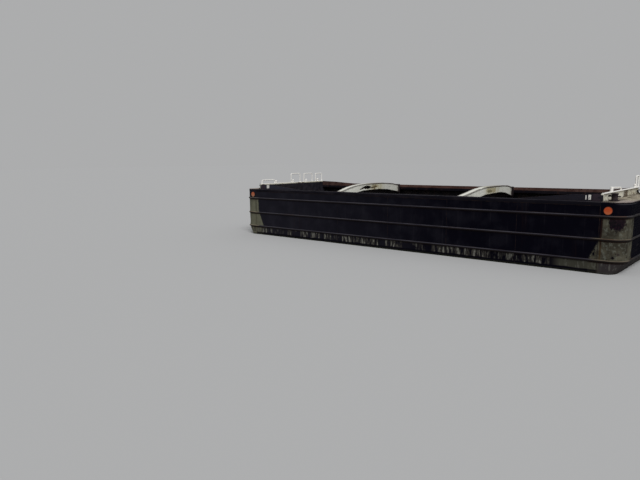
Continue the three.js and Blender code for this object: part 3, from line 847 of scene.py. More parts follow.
def steps(low, high, size):
    count = max(1, math.ceil(abs(high - low) / size - 1e-6))
    return [low + (high - low) * step / count for step in range(count + 1)]


def arc(first, last, count):
    # cosine and sine at even steps between two angles, both ends included, in quarter turns
    angles = [(first + (last - first) * step / count) * math.pi / 2 for step in range(count + 1)]
    return [(math.cos(angle), math.sin(angle)) for angle in angles]


def wave(x, y, z):
    # smooth noise between -1 and 1
    return noise.noise(Vector((x, y, z)))


def lineHeight(line, reach):
    # height on a line of (distance, height) points, level beyond its ends
    reach = max(reach, line[0][0])
    for (nearer, nearHeight), (farther, farHeight) in zip(line, line[1:]):
        if reach <= farther:
            return nearHeight + (farHeight - nearHeight) * (reach - nearer) / (farther - nearer)
    return line[-1][1]


def headings(path):
    # the direction of travel at each point
    last = len(path) - 1
    return [(path[min(index + 1, last)] - path[max(index - 1, 0)]).normalized() for index in range(last + 1)]


def turned(bm, profile, centre, sides, up=(0, 0, 1)):
    # a lathe shape from (radius, height) points
    turn = Vector(up).to_track_quat("Z", "Y").to_matrix()
    circle = arc(0, 4, sides)[:-1]
    skin(bm, [[Vector(centre) + turn @ Vector((radius * cos, radius * sin, height)) for cos, sin in circle]
              for radius, height in profile])


def tube(bm, path, radius, sides, side=(1, 0, 0)):
    # a round bar along points in a plane that side stands out of
    side = Vector(side)
    circle = arc(0, 4, sides)[:-1]
    rings = []
    for point, ahead in zip(path, headings(path)):
        across = ahead.cross(side)
        rings.append([point + (side * cos + across * sin) * radius for cos, sin in circle])
    skin(bm, rings)


def slab(bm, low, high, edge):
    # a block with rounded edges
    corners = bmesh.ops.create_cube(bm, size=1.0)["verts"]
    for corner in corners:
        corner.co = Vector([low[axis] if corner.co[axis] < 0 else high[axis] for axis in range(3)])
    borders = list({border for corner in corners for border in corner.link_edges})
    bmesh.ops.bevel(bm, geom=borders, offset=edge, segments=2, profile=0.5, affect="EDGES")


def fins(bm, xs, outline, thick):
    # flat plates that stand across the hull's length, from (y, z) points
    for x in xs:
        skin(bm, [[(x + edge, y, z) for y, z in outline] for edge in (-thick / 2, thick / 2)])


def bolt(bm, centre, up, across=0.030, height=0.014):
    # a hexagon head on its washer
    washer = 0.003
    radius = across / 2 / math.cos(math.pi / 6)
    turned(bm, [(across * 0.74, 0.0), (across * 0.74, 0.002), (across * 0.70, washer)], centre, 20, up)
    raised = Vector(centre) + Vector(up) * washer
    turned(bm, [(radius, 0.0), (radius, height * 0.8), (radius * 0.84, height)], raised, 6, up)


def cutPlate(bm, us, vs, front, back, keep=lambda u, v: True):
    # a plate made of cells, of which keep can leave some out; front and back give its two faces
    made = {}

    def corner(face, column, row):
        key = (face, column, row)
        if key not in made:
            made[key] = bm.verts.new((front if face else back)(us[column], vs[row]))
        return made[key]

    kept = {(column, row) for column in range(len(us) - 1) for row in range(len(vs) - 1)
            if keep((us[column] + us[column + 1]) / 2, (vs[row] + vs[row + 1]) / 2)}
    for column, row in sorted(kept):
        loop = ((column, row), (column + 1, row), (column + 1, row + 1), (column, row + 1))
        bm.faces.new([corner(1, *spot) for spot in loop])
        bm.faces.new([corner(0, *spot) for spot in loop[::-1]])
        for side, (right, up) in enumerate(((0, -1), (1, 0), (0, 1), (-1, 0))):
            if (column + right, row + up) not in kept:
                first, second = loop[side], loop[(side + 1) % 4]
                bm.faces.new((corner(1, *first), corner(0, *first), corner(0, *second), corner(1, *second)))
    return made


def weldRun(bm, path, radius):
    # a bead over (point, way out of the plate) pairs, swelling a little along its length
    rings = []
    for (point, out), ahead in zip(path, headings([point for point, out in path])):
        across = ahead.cross(out).normalized()
        swell = radius * (0.9 + 0.35 * noise.noise(point * 11))
        rings.append([point + across * (swell * math.cos(angle)) + out * (swell * 0.7 * math.sin(angle))
                      for angle in (-0.4, 0.6, 1.571, 2.542, 3.542)])
    skin(bm, rings)


def seam(bm, start, end, out, radius):
    # a straight weld run, out of the plate along out
    start, end, out = Vector(start), Vector(end), Vector(out).normalized()
    stepLength = 0.04
    shares = steps(0.0, 1.0, stepLength / (end - start).length)
    weldRun(bm, [(start.lerp(end, share), out) for share in shares], radius)


# Dents

denting = {
    "sag": 0.006,           # how far the plating sinks between two ribs
    "ripple": 0.004,
    "knockDepth": (0.006, 0.022),
    "knockRadius": (0.10, 0.42),
    "heldBy": 0.16,         # how far from a rail or an edge the plating is free to dent
}


def knocks(seed, count, low, high):
    # seeded dents over a stretch u and a height z
    dice = random.Random(seed)
    made = []
    for _ in range(count):
        radius = dice.uniform(*denting["knockRadius"])
        made.append({
            "u": dice.uniform(low[0], high[0]),
            "z": dice.uniform(low[1], high[1]),
            "wide": radius,
            "tall": radius * dice.uniform(0.4, 0.9),
            "depth": dice.uniform(*denting["knockDepth"]) * (0.5 + radius),
        })
    return made


def knocked(u, z, dents):
    depth = 0.0
    for dent in dents:
        away = ((u - dent["u"]) / dent["wide"]) ** 2 + ((z - dent["z"]) / dent["tall"]) ** 2
        if away < 6:
            depth += dent["depth"] * math.exp(-away * 1.6)
    return depth


def ribWave(along):
    # 0 at each rib and 1 halfway between two
    return math.sin(math.pi * along / hull["ribSpacing"]) ** 2


def plateDepth(u, z, dents, seed):
    # how far plating lies inside its true line; rails and top edge hold it straight
    reach = min(abs(z - level) for level in (*railLevels.values(), hull["deck"], 0.0))
    share = min(1.0, reach / denting["heldBy"]) ** 1.5
    depth = denting["sag"] * ribWave(u)
    depth += denting["ripple"] * (0.5 + 0.5 * wave(u * 1.9, z * 2.3, seed))
    return (depth + knocked(u, z, dents)) * share


# Side plating: the outer skin, the bilge and the hold's own side in one closed wall

sideDents = {side: knocks(20 + sign, 46, (-hull["endStart"], 0.2), (hull["endStart"], 2.4))
             for side, sign in sides.items()}
holdDents = {side: knocks(22 + sign, 46, (-hull["endStart"], 0.3), (hull["endStart"], 2.2))
             for side, sign in sides.items()}


wallGrid = {"along": 0.065, "outer": 0.05, "inner": 0.07}      # cell lengths
wallHeld = {"ends": 0.1, "edges": 0.2}      # how far from the ends, or from floor and top, it is free to dent


def wallSection():
    # points of the wall's section: y, z, and 1 on the outer skin or -1 on the hold's side
    side, bilge, inner, top = hull["side"], hull["bilgeRadius"], hull["wallInner"], hull["wallTop"]
    section = [(inner, 0.0, 0)]
    section += [(side - bilge + bilge * cos, bilge + bilge * sin, 0) for cos, sin in arc(-1, 0, 6)]
    section += [(side, z, 1) for z in steps(bilge, top, wallGrid["outer"])[1:-1]]
    section += [(side, top, 0), (inner, top, 0)]
    section += [(inner, z, -1) for z in steps(top, 0.0, wallGrid["inner"])[1:-1]]
    return section


def heldAtEnds(x):
    return min(1.0, (hull["endStart"] - abs(x)) / wallHeld["ends"])


def outerDepth(side, x, z):
    return plateDepth(x, z, sideDents[side], 20 + sides[side]) * heldAtEnds(x)


def innerDepth(side, x, z):
    # the hold's side bulges into the wall between other ribs
    lift = max(0.0, min(1.0, min(z - hull["floorTop"], hull["wallTop"] - z) / wallHeld["edges"]))
    depth = plateDepth(x + hull["ribSpacing"] / 2, z, holdDents[side], 25 + sides[side])
    return depth * heldAtEnds(x) * lift


def sidePlating(side, sign):
    section = wallSection()
    rings = []
    for x in steps(-hull["endStart"], hull["endStart"], wallGrid["along"]):
        ring = []
        for y, z, out in section:
            if out > 0:
                y -= outerDepth(side, x, z)
            elif out < 0 and hull["floorTop"] < z:
                y += innerDepth(side, x, z)
            ring.append((x, y * sign, z))
        rings.append(ring)
    bm = bmesh.new()
    skin(bm, rings)
    for face in bm.faces:
        middle = face.calc_center_median()
        inHold = abs(middle.y) < hull["wallInner"] + 0.03 and middle.z > hull["floorTop"] * 0.5
        face.material_index = int(inHold)
    place(f"plating_{side}", bm, "hull hold", [f"side_wall_{side}"])


for side, sign in sides.items():
    sidePlating(side, sign)
print("side plating made")


# Decked ends: plan with rounded corners, drawn in at the foot, dented round the corners

endGrid = {"side": 30, "across": 70, "height": 0.05, "bilge": (0.0, 0.015, 0.035, 0.065)}
endDents = {
    "seam": 0.12,           # the plating is held this far from the seam with the side
    "deckSag": 0.004,
    "deckSeam": 0.1,
    "deckEdge": 1 / 12,     # as a share of the deck's width
}


def rakeShare(z):
    # how much of the decked end's length is left at height z
    full = hull["end"] - hull["endStart"]
    foot = (full - hull["rakeRun"]) / full
    return min(1.0, foot + (1 - foot) * z / hull["rakeTop"])


def planPoint(share):
    # along the side and round the corner at deck level: x, y and the way out
    radius = hull["cornerRadius"]
    straight = hull["end"] - radius - hull["endStart"]
    gone = share * (straight + radius * math.pi / 2)
    if gone <= straight:
        return hull["endStart"] + gone, hull["side"], 0.0, 1.0
    cos, sin = math.cos((gone - straight) / radius), math.sin((gone - straight) / radius)
    return hull["end"] - radius + radius * sin, hull["side"] - radius + radius * cos, sin, cos


def roundEnd(count, faceYs):
    # from the far side round the end to the near side: x, y and the way out
    half = [planPoint(step / count) for step in range(count + 1)]
    face = [(hull["end"], y, 1.0, 0.0) for y in faceYs(half[-1][1])]
    return [*half, *face, *[(x, -y, outX, -outY) for x, y, outX, outY in half[::-1]]]


def endRing(z, dents, seed):
    start, side, bilge, across = hull["endStart"], hull["side"], hull["bilgeRadius"], endGrid["across"]
    lift = min(z, bilge)
    widest = side - bilge + math.sqrt(max(0.0, bilge ** 2 - (bilge - lift) ** 2))
    otherSide = 4.0         # shifts the dents' place on the near side, so that the two sides differ
    points = []
    for x, y, outX, outY in roundEnd(endGrid["side"], lambda lastY: [lastY * (1 - 2 * step / across)
                                                                     for step in range(1, across)]):
        x = start + (x - start) * rakeShare(z)
        y = max(-widest, min(widest, y))
        travel = x - start + abs(side - abs(y)) + (y < 0) * otherSide
        depth = plateDepth(travel, z, dents, seed) * min(1.0, (x - start) / endDents["seam"])
        points.append((x - outX * depth, y - outY * depth, z))
    return points


def endPlating(end, sign):
    seed = 31 + sign
    dents = knocks(seed, 26, (0.1, 0.3), (7.0, 2.3))
    levels = [*endGrid["bilge"], *steps(hull["bilgeRadius"], hull["deck"], endGrid["height"])]
    bm = bmesh.new()
    rings = [[(x * sign, y, z) for x, y, z in endRing(z, dents, seed)] for z in levels]
    rows = skin(bm, rings, caps=False)
    bm.faces.new(rows[0][::-1])
    # the deck: rows from side to side between the two halves of the top ring
    top = rows[-1]
    last, across = endGrid["side"], endGrid["across"]
    lanes = []
    for index in range(last):
        start, finish = top[index], top[-1 - index]
        lane = [start]
        for step in range(1, across):
            share = step / across
            point = start.co.lerp(finish.co, share)
            inward = min(1.0, min(share, 1 - share) / endDents["deckEdge"],
                         (abs(point.x) - hull["endStart"]) / endDents["deckSeam"])
            point.z -= endDents["deckSag"] * (1 + noise.noise(point * 2.2)) * inward
            lane.append(bm.verts.new(point))
        lanes.append([*lane, finish])
    lanes.append(top[last:last + across + 1])
    for lane, following in zip(lanes, lanes[1:]):
        for step in range(across):
            face = bm.faces.new((lane[step], lane[step + 1], following[step + 1], following[step]))
            face.material_index = 1
    # the side towards the hold closes the box
    farEdge, nearEdge = [row[0] for row in rows], [row[-1] for row in rows]
    bm.faces.new([*farEdge, *lanes[0][1:-1], *nearEdge[::-1]])
    place(f"end_plating_{end}", bm, "hull deck", [f"end_box_{end}"])


for end, sign in ends.items():
    endPlating(end, sign)
print("decked ends made")


# Rub rails: half-round bars with a worn flat crown, knocked a little out of line

railSizes = {
    "half": (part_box("rail_upper_near")[1].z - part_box("rail_upper_near")[0].z) / 2,
    "proud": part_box("rail_upper_far")[1].y - hull["side"],
    "crown": 0.012,
    "bends": 6,
    "corner": 26,           # steps along each rounded end
    "step": 0.09,
    "wander": 0.005,
    "tilt": 0.003,
    "slim": 0.985,
}


def railProfile():
    # outward and upward distances, from the lower edge round to the upper one
    half, proud, crown = railSizes["half"], railSizes["proud"], railSizes["crown"]
    profile = [(proud * cos, -crown + (half - crown) * sin) for cos, sin in arc(-1, 0, railSizes["bends"])]
    return [*profile, *[(out, -up) for out, up in profile[::-1]]]


def rail(name, level, route, seed):
    # route gives points on the plating with the way out
    rings = []
    for x, y, outX, outY in route:
        worn = railSizes["wander"] * (0.5 + 0.5 * wave(x * 1.3, y * 1.3, level + seed))
        lift = level + railSizes["tilt"] * wave(x * 0.9, y * 0.9, level - seed)
        ring = []
        for out, up in railProfile():
            reach = max(0.0003, out - worn * (out / railSizes["proud"]))
            ring.append((x + outX * reach, y + outY * reach, lift + up * railSizes["slim"]))
        rings.append(ring)
    bm = bmesh.new()
    skin(bm, rings)
    place(f"{name}_bar", bm, "rail", [name], sharp=50)


for levelName, level in railLevels.items():
    for side, sign in sides.items():
        straight = [(x, hull["side"] * sign, 0.0, sign)
                    for x in steps(-hull["endStart"], hull["endStart"], railSizes["step"])]
        rail(f"rail_{levelName}_{side}", level, straight, 3 + sign)
    for end, sign in ends.items():
        route = roundEnd(railSizes["corner"], lambda lastY: steps(lastY, -lastY, railSizes["step"])[1:-1])
        route = [(x * sign, y, outX * sign, outY) for x, y, outX, outY in route]
        rail(f"rail_{levelName}_{end}_end", level, route, 7 + sign)
print("rub rails made")


# Bars with rounded edges along X or Y: gunwales and copings

barWear = {"wander": 0.003, "step": 0.12}


def bar(name, node, axis, finish, edge, seed):
    low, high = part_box(node)
    along = "xyz".index(axis)
    first, second = [index for index in range(3) if index != along]
    rings = []
    for travel in steps(low[along], high[along], barWear["step"]):
        worn = barWear["wander"] * (0.5 + 0.5 * wave(travel * 2.1, seed, low[second]))
        sunk = barWear["wander"] * (0.5 + 0.5 * wave(travel * 1.4, seed + 9, high[first]))
        spans = ((low[first] + worn * 0.5, high[first] - worn), (low[second], high[second] - sunk))
        ring = []
        for pickFirst, pickSecond, start in ((1, 1, 0), (0, 1, 1), (0, 0, 2), (1, 0, 3)):
            for cos, sin in arc(start, start + 1, 3):
                point = [0.0, 0.0, 0.0]
                point[along] = travel
                point[first] = spans[0][pickFirst] + edge * (cos - (1 if pickFirst else -1))
                point[second] = spans[1][pickSecond] + edge * (sin - (1 if pickSecond else -1))
                ring.append(point)
        rings.append(ring)
    bm = bmesh.new()
    skin(bm, rings)
    place(name, bm, finish, [node])


for side, sign in sides.items():
    bar(f"gunwale_{side}", f"gunwale_bar_{side}", "x", "gunwale", edge=0.012, seed=2.0 + sign)
for end, sign in ends.items():
    bar(f"coping_{end}", f"end_coping_{end}", "y", "fitting", edge=0.006, seed=5.0 + sign)
print("gunwales and copings made")


# Hold floor: plate that has sunk a little between its frames

holdFloorSizes = {"step": 0.1, "sag": 0.007, "heldBy": 0.15}


def holdFloor():
    low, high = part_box("bottom_panel")
    dents = knocks(77, 60, (-7.4, -2.3), (7.4, 2.3))
    step, heldBy = holdFloorSizes["step"], holdFloorSizes["heldBy"]
    rings = []
    for x in steps(low.x, high.x, step):
        top = []
        for y in steps(low.y, high.y, step):
            held = min(1.0, (high.x - abs(x)) / heldBy, (high.y - abs(y)) / heldBy)
            depth = holdFloorSizes["sag"] * ribWave(x) + knocked(x, y, dents)
            top.append((x, y, high.z - depth * held))
        rings.append([*top, (x, high.y, low.z), (x, low.y, low.z)])
    bm = bmesh.new()
    skin(bm, rings)
    place("hold_floor_plate", bm, "hold", ["bottom_panel"])


holdFloor()
print("hold floor made")


# End walls: plate dented by grabs, with small brackets on the deck side

endWall = {
    "outer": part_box("end_coping_right")[1].y,
    "top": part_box("end_bulkhead_right")[1].z,
    "gunwaleInner": -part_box("gunwale_bar_near")[1].y,
    "sag": 0.006,
    "buckle": 0.005,
    "cells": {"across": 0.08, "low": 0.09, "middle": 0.06, "high": 0.04},
    # where each face is held straight: from which distance across, and over what widths and heights
    "holdFace": {"half": 2.25, "edge": 0.15, "foot": 0.2, "top": 0.1},
    "deckFace": {"half": 2.26, "edge": 0.1, "foot": 0.06, "top": 0.04},
    "bracketHalf": 2.135,   # the outermost brackets' distance from the middle
    "bracketSpacing": 0.61,
    "bracketReach": 0.085,
    "bracketHeight": 0.15,
    "bracketThick": 0.010,
    "bracketToe": 0.022,
}


def endWallLimit(z):
    # half of the wall's width at height z: it narrows between the gunwale bars and widens above them
    if z < hull["wallTop"]:
        return hull["wallInner"]
    return endWall["gunwaleInner"] if z < hull["deck"] else endWall["outer"]


def endWallPlate(end, sign):
    dents = knocks(90 + sign, 24, (-2.3, 0.4), (2.3, 2.7))
    narrow, wide, widest, top = endWall["gunwaleInner"], endWall["outer"], hull["wallInner"], endWall["top"]
    cells = endWall["cells"]
    ys = [-widest, -wide, *steps(-narrow, narrow, cells["across"]), wide, widest]
    zs = [*steps(0.0, hull["wallTop"], cells["low"]),
          *steps(hull["wallTop"], hull["deck"], cells["middle"])[1:],
          *steps(hull["deck"], top, cells["high"])[1:]]

    def freeToDent(y, z, foot, limits):
        return max(0.0, min(1.0, (z - foot) / limits["foot"], (limits["half"] - abs(y)) / limits["edge"],
                            (top - z) / limits["top"]))

    def holdFace(y, z):
        held = freeToDent(y, z, hull["floorTop"], endWall["holdFace"])
        depth = knocked(y, z, dents) + endWall["sag"] * ribWave(y)
        return (sign * (hull["holdEnd"] + depth * held), y, z)

    def deckFace(y, z):
        held = freeToDent(y, z, hull["deck"], endWall["deckFace"])
        depth = endWall["buckle"] * (1 + wave(y * 3.1, z * 4.0, sign)) * held
        return (sign * (hull["endStart"] - depth), y, z)

    bm = bmesh.new()
    cutPlate(bm, ys, zs, holdFace, deckFace, lambda y, z: abs(y) < endWallLimit(z))
    back = sign * (hull["endStart"] - 0.004)
    reach, height, toe = endWall["bracketReach"], endWall["bracketHeight"], endWall["bracketToe"]
    outline = ((0.0, 0.001), (reach, 0.001), (reach, toe), (toe, height), (0.0, height))
    for y in steps(-endWall["bracketHalf"], endWall["bracketHalf"], endWall["bracketSpacing"]):
        skin(bm, [[(back + sign * out, y + side * endWall["bracketThick"] / 2, hull["deck"] + up)
                   for out, up in outline] for side in (-1, 1)])
    place(f"end_wall_{end}", bm, "endWall", [f"end_bulkhead_{end}"])


for end, sign in ends.items():
    endWallPlate(end, sign)
print("end walls made")


# Wing plates: thin plates that taper away from the end walls, with a bar along their top edge

wing = {
    "outer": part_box("wing_plate_right_far")[1].y,
    "thick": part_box("wing_plate_right_far")[1].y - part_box("wing_plate_right_far")[0].y,
    # distance along the hull and height of the top edge
    "top": {
        "near": [(5.15, 2.665), (6.85, 2.838), (7.65, 2.875)],
        "left_far": [(5.15, 2.775), (5.50, 2.778), (6.09, 2.810), (6.72, 2.850), (7.65, 2.875)],
        "right_far": [(5.15, 2.775), (6.80, 2.775), (7.65, 2.875)],
    },
    "slack": 0.004,         # how far the outer face stays inside the solid
    "sway": 0.004,
    "barRadius": 0.015,
    "barFrom": 0.16,        # how far from the toe the bar starts
    "cell": 0.08,
    "rows": 5,
}


def wingPlate(end, side):
    alongX, alongY = ends[end], sides[side]
    line = wing["top"]["near" if side == "near" else f"{end}_far"]
    toe, wall = line[0][0], line[-1][0]

    def surface(inset):
        def at(x, share):
            z = hull["deck"] + (lineHeight(line, x) - hull["deck"]) * share
            sway = wing["sway"] * wave(x * 1.6 * alongX, alongY, share) * min(1.0, (wall - x) * 3) * share
            y = wing["outer"] - wing["slack"] - wing["thick"] * inset * 0.72 + sway
            return (x * alongX, y * alongY, z)
        return at

    bm = bmesh.new()
    cutPlate(bm, steps(toe, wall, wing["cell"]), steps(0.0, 1.0, 1 / wing["rows"]), surface(0), surface(1))
    middle = wing["outer"] - wing["thick"] / 2
    radius = wing["barRadius"]
    path = [Vector((x * alongX, middle * alongY, lineHeight(line, x) - radius))
            for x in steps(toe + wing["barFrom"], wall - 0.01, 0.1)]
    tube(bm, path, radius, 12, side=(0, 1, 0))
    place(f"wing_{end}_{side}", bm, "wing", [f"wing_plate_{end}_{side}"])


for end in ends:
    for side in sides:
        wingPlate(end, side)
print("wing plates made")


# Coaming: the low plate on the far gunwale, bent by grabs, with short stays on its outer side

coaming = {
    "thick": 0.012,
    "bend": 0.012,
    "drop": 0.004,
    "staySpacing": 0.86,
    "stayReach": 0.10,
    "stayThick": 0.010,
    "cells": (0.08, 0.03),
}


def farCoaming():
    low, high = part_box("coaming_far")

    def surface(inset):
        def at(x, z):
            share = (z - low.z) / (high.z - low.z)
            sway = coaming["bend"] * abs(wave(x * 0.9, 4.0, share * 0.4)) * share
            drop = coaming["drop"] * share * abs(wave(x, 0, 9))
            return (x, low.y + inset * coaming["thick"] + sway, z - drop)
        return at

    bm = bmesh.new()
    long, tall = coaming["cells"]
    cutPlate(bm, steps(low.x, high.x, long), steps(low.z, high.z, tall), surface(1), surface(0))
    back = low.y + coaming["thick"] / 2
    outline = ((back, low.z), (back + coaming["stayReach"], low.z), (back, high.z - 0.02))
    fins(bm, steps(low.x + 0.3, high.x - 0.3, coaming["staySpacing"]), outline, coaming["stayThick"])
    place("coaming_far_plate", bm, "gunwale", ["coaming_far"])


farCoaming()
print("far coaming made")


# Cross beams: hollow girders with a wider top plate; the left is rusted through, the right gnawed from below

rustHole = {"y": -0.30, "z": 2.752, "long": 0.265, "tall": 0.078}
crack = {"from": -0.52, "to": -0.90, "drop": 0.085, "wide": 0.030}
softened = {"from": -1.0, "to": 0.2, "below": 2.855}      # where the cut edges are smoothed
gnawing = {"depth": 0.045, "reach": 1.4}


def easedHeight(line, y, width):
    # the line's height with its corners rounded off
    return sum(lineHeight(line, y + width * part) for part in (-1, -0.5, 0, 0.5, 1)) / 5


def beamHeights(end, y):
    ease = beam["eased"] * min(1.0, (beam["end"] - abs(y)) / 0.15)
    top, under = beam["top"][end], beam["under"][end]
    return (min(easedHeight(top, y, ease) - 0.0005, lineHeight(top, y)),
            max(easedHeight(under, y, ease), lineHeight(under, y)))


def rusted(y, z):
    # whether a spot of the left beam's outer web is eaten away
    out = math.hypot((y - rustHole["y"]) / rustHole["long"], (z - rustHole["z"]) / rustHole["tall"])
    if out < 1 + 0.45 * wave(y * 11, z * 17, 3.0):
        return True
    if not crack["to"] < y < crack["from"] + 0.05:
        return False
    share = (crack["from"] - y) / (crack["from"] - crack["to"])
    middle = rustHole["z"] + 0.015 - share * crack["drop"] + 0.008 * wave(y * 14, 0, 0)
    return abs(z - middle) < crack["wide"] * (1.15 - share)


def gnawed(y):
    # how far the right beam's outer web has rusted away from below
    return max(0.0, wave(y * 5, 2.0, 0)) * gnawing["depth"] * max(0.0, 1 - abs(y) / gnawing["reach"])


def onEdge(vert):
    return any(len(border.link_faces) == 2 and border.calc_face_angle() > 1 for border in vert.link_edges)


def beamWeb(bm, end, side):
    low, high, middle = boxOf(f"cross_beam_{end}")
    outer = middle.x + side * beam["web"] / 2
    eaten = side > 0 and end == "left"
    ragged = side > 0 and end == "right"

    def webHeight(y, share):
        top, under = beamHeights(end, y)
        under += gnawed(y) if ragged else 0.0
        return under + (top - beam["flangeThick"] - under) * share

    def face(inset):
        def at(y, share):
            bulge = beam["bulge"] * wave(y * 2.4, share * 2, middle.x) * math.sin(math.pi * share)
            x = outer - side * (inset * beam["sheetThick"] + beam["slack"] + bulge)
            return (x, y, webHeight(y, share))
        return at

    def keep(y, share):
        return not (eaten and rusted(y, webHeight(y, share)))

    columns = steps(low.y, high.y, beam["cells"]["rusted" if eaten or ragged else "plain"])
    rows = steps(0.0, 1.0, 1 / beam["rows"]["rusted" if eaten else "plain"])
    made = cutPlate(bm, columns, rows, face(0), face(1), keep)
    if eaten:
        rim = [vert for vert in made.values()
               if softened["from"] < vert.co.y < softened["to"]
               and beamHeights(end, vert.co.y)[1] + 0.02 < vert.co.z < softened["below"]
               and onEdge(vert)]
        for _ in range(2):
            bmesh.ops.smooth_vert(bm, verts=rim, factor=0.5, use_axis_y=True, use_axis_z=True)


def beamPlate(bm, end, width, thick, which):
    # the plate along the top line, or with which at 1 along the underside
    low, high, middle = boxOf(f"cross_beam_{end}")
    bevel = beam["bevel"]
    half = width / 2 - beam["slack"]
    rings = []
    for y in steps(low.y, high.y, beam["cells"]["plain"]):
        top = beamHeights(end, y)[which] + which * thick
        sway = beam["sway"] * wave(y * 1.7, which, middle.x)
        left, right = middle.x + sway - half, middle.x + sway + half
        rings.append([
            (left, y, top - thick + bevel), (left, y, top - bevel), (left + bevel, y, top),
            (right - bevel, y, top), (right, y, top - bevel), (right, y, top - thick + bevel),
            (right - bevel, y, top - thick), (left + bevel, y, top - thick),
        ])
    skin(bm, rings)


def crossBeam(end):
    bm = bmesh.new()
    for side in (-1, 1):
        beamWeb(bm, end, side)
    beamPlate(bm, end, beam["flange"], beam["flangeThick"], 0)
    beamPlate(bm, end, beam["web"], beam["footThick"], 1)
    place(f"cross_beam_{end}_girder", bm, "beam", [f"cross_beam_{end}"])


pad = {"edge": 0.005, "boltSide": 0.165, "boltEdge": 0.05, "boltSpacing": 0.13, "gussetSide": 0.10,
       "gussetThick": 0.016, "gussetDrop": 0.10}


def beamPad(end, side):
    # a bolted end plate, with two gussets under the side deck from its back to the hull side
    node = f"beam_pad_{end}_{side}"
    sign = sides[side]
    low, high, middle = boxOf(node)
    bm = bmesh.new()
    slab(bm, low, high, pad["edge"])
    front, back = (low.y, high.y) if sign > 0 else (high.y, low.y)
    for x in (middle.x - pad["boltSide"], middle.x + pad["boltSide"]):
        for z in steps(low.z + pad["boltEdge"], high.z - pad["boltEdge"], pad["boltSpacing"]):
            bolt(bm, (x, front, z), (0, -sign, 0))
    wall, under = sign * (hull["wallInner"] - 0.001), hull["wallTop"] - 0.001
    outline = ((back, low.z + 0.02), (wall, low.z - pad["gussetDrop"]), (wall, under), (back, under))
    fins(bm, (middle.x - pad["gussetSide"], middle.x + pad["gussetSide"]), outline, pad["gussetThick"])
    place(f"{node}_plate", bm, "iron", [node])


for end in ends:
    crossBeam(end)
    for side in sides:
        beamPad(end, side)
print("cross beams made")


# Fittings

rivet = {"circle": 0.72, "profile": [(0.007, 0.0), (0.006, 0.0018), (0.003, 0.0028)]}


def disc(end, side):
    # a pressed disc with a raised rim, riveted through
    node = f"disc_{end}_{side}"
    low, high, middle = boxOf(node)
    radius, thick = (high.z - low.z) / 2, high.y - low.y
    out = Vector((0, sides[side], 0))
    back = middle - out * thick / 2
    # share of the radius, and height from the front
    pressed = [(0.985, -0.0005), (0.955, -0.0005), (0.935, -0.003), (0.6, -0.0025), (0.2, -0.0015)]
    profile = [(radius * 0.985, 0.0), (radius, 0.002), (radius, thick - 0.002)]
    profile += [(radius * share, thick + height) for share, height in pressed]
    bm = bmesh.new()
    turned(bm, profile, back, 64, out)
    for cos, sin in arc(0.5, 4.5, 4)[:-1]:
        spot = back + Vector((cos, 0, sin)) * radius * rivet["circle"] + out * (thick - 0.003)
        turned(bm, rivet["profile"], spot, 14, out)
    place(f"{node}_plate", bm, "disc", [node])


post = {
    # radius and height, from the foot to the crown of the head
    "profile": [(0.138, 0.0), (0.140, 0.003), (0.140, 0.013), (0.137, 0.016), (0.108, 0.020),
                (0.097, 0.026), (0.092, 0.036), (0.0915, 0.10), (0.0915, 0.178), (0.094, 0.190),
                (0.102, 0.199), (0.107, 0.206), (0.108, 0.212), (0.108, 0.224), (0.105, 0.231)],
    "footTop": 0.0155,
    "boltCircle": 0.124,
    "pinHeight": 0.143,
    "pinStart": 0.085,
}


def bollard(end, side):
    # a post on a bolted foot, with a pin through it
    node = f"bollard_{end}_{side}"
    low, high, middle = boxOf(node)
    centre = Vector((middle.x, middle.y, low.z))
    top = high.z - low.z
    bm = bmesh.new()
    turned(bm, [*post["profile"], (0.096, top - 0.001), (0.088, top)], centre, 56)
    for cos, sin in arc(0.25, 4.25, 8)[:-1]:
        spot = centre + Vector((cos * post["boltCircle"], sin * post["boltCircle"], post["footTop"]))
        bolt(bm, spot, (0, 0, 1), across=0.022, height=0.012)
    reach = (high.x - low.x) / 2 - post["pinStart"]
    pin = [(0.0175, 0.0), (0.0175, reach - 0.012), (0.0185, reach - 0.011), (0.0185, reach - 0.003),
           (0.015, reach)]
    for way in (-1, 1):
        start = centre + Vector((way * post["pinStart"], 0, post["pinHeight"]))
        turned(bm, pin, start, 20, (way, 0, 0))
    place(f"{node}_post", bm, "iron", [node])


def knobPost(node):
    # a short post with a collar and a rounded head
    low, high, middle = boxOf(node)
    radius, top = (high.x - low.x) / 2, high.z - low.z
    headFrom = 0.66         # share of the height where the dome starts
    # shares of the radius and of the height
    stem = [(0.82, 0.40), (0.86, 0.45), (0.97, 0.50), (1.0, 0.55), (1.0, headFrom)]
    stem += [(cos, headFrom + (1 - headFrom) * sin) for cos, sin in arc(0, 1, 8)[1:-1]] + [(0.06, 1.0)]
    profile = [(radius * 0.98, 0.0), (radius * 0.98, 0.006), (radius * 0.90, 0.010), (radius * 0.84, 0.016)]
    profile += [(radius * wide, top * up) for wide, up in stem]
    bm = bmesh.new()
    turned(bm, profile, (middle.x, middle.y, low.z), 36)
    place(f"{node}_head", bm, "fitting", [node])


hoopPipes = {
    "low_hoop_right": {"pipe": 0.026, "bend": 0.045, "foot": 0.050, "drop": 0.045},
    "tall_hoop_right": {"pipe": 0.028, "bend": 0.045},
    "low_hoop_left": {"pipe": 0.028, "bend": 0.075},
    "tall_hoop_left_near": {"pipe": 0.026, "bend": 0.055},
    "tall_hoop_left_middle": {"pipe": 0.026, "bend": 0.055},
    "tall_hoop_left_far": {"pipe": 0.026, "bend": 0.055},
}


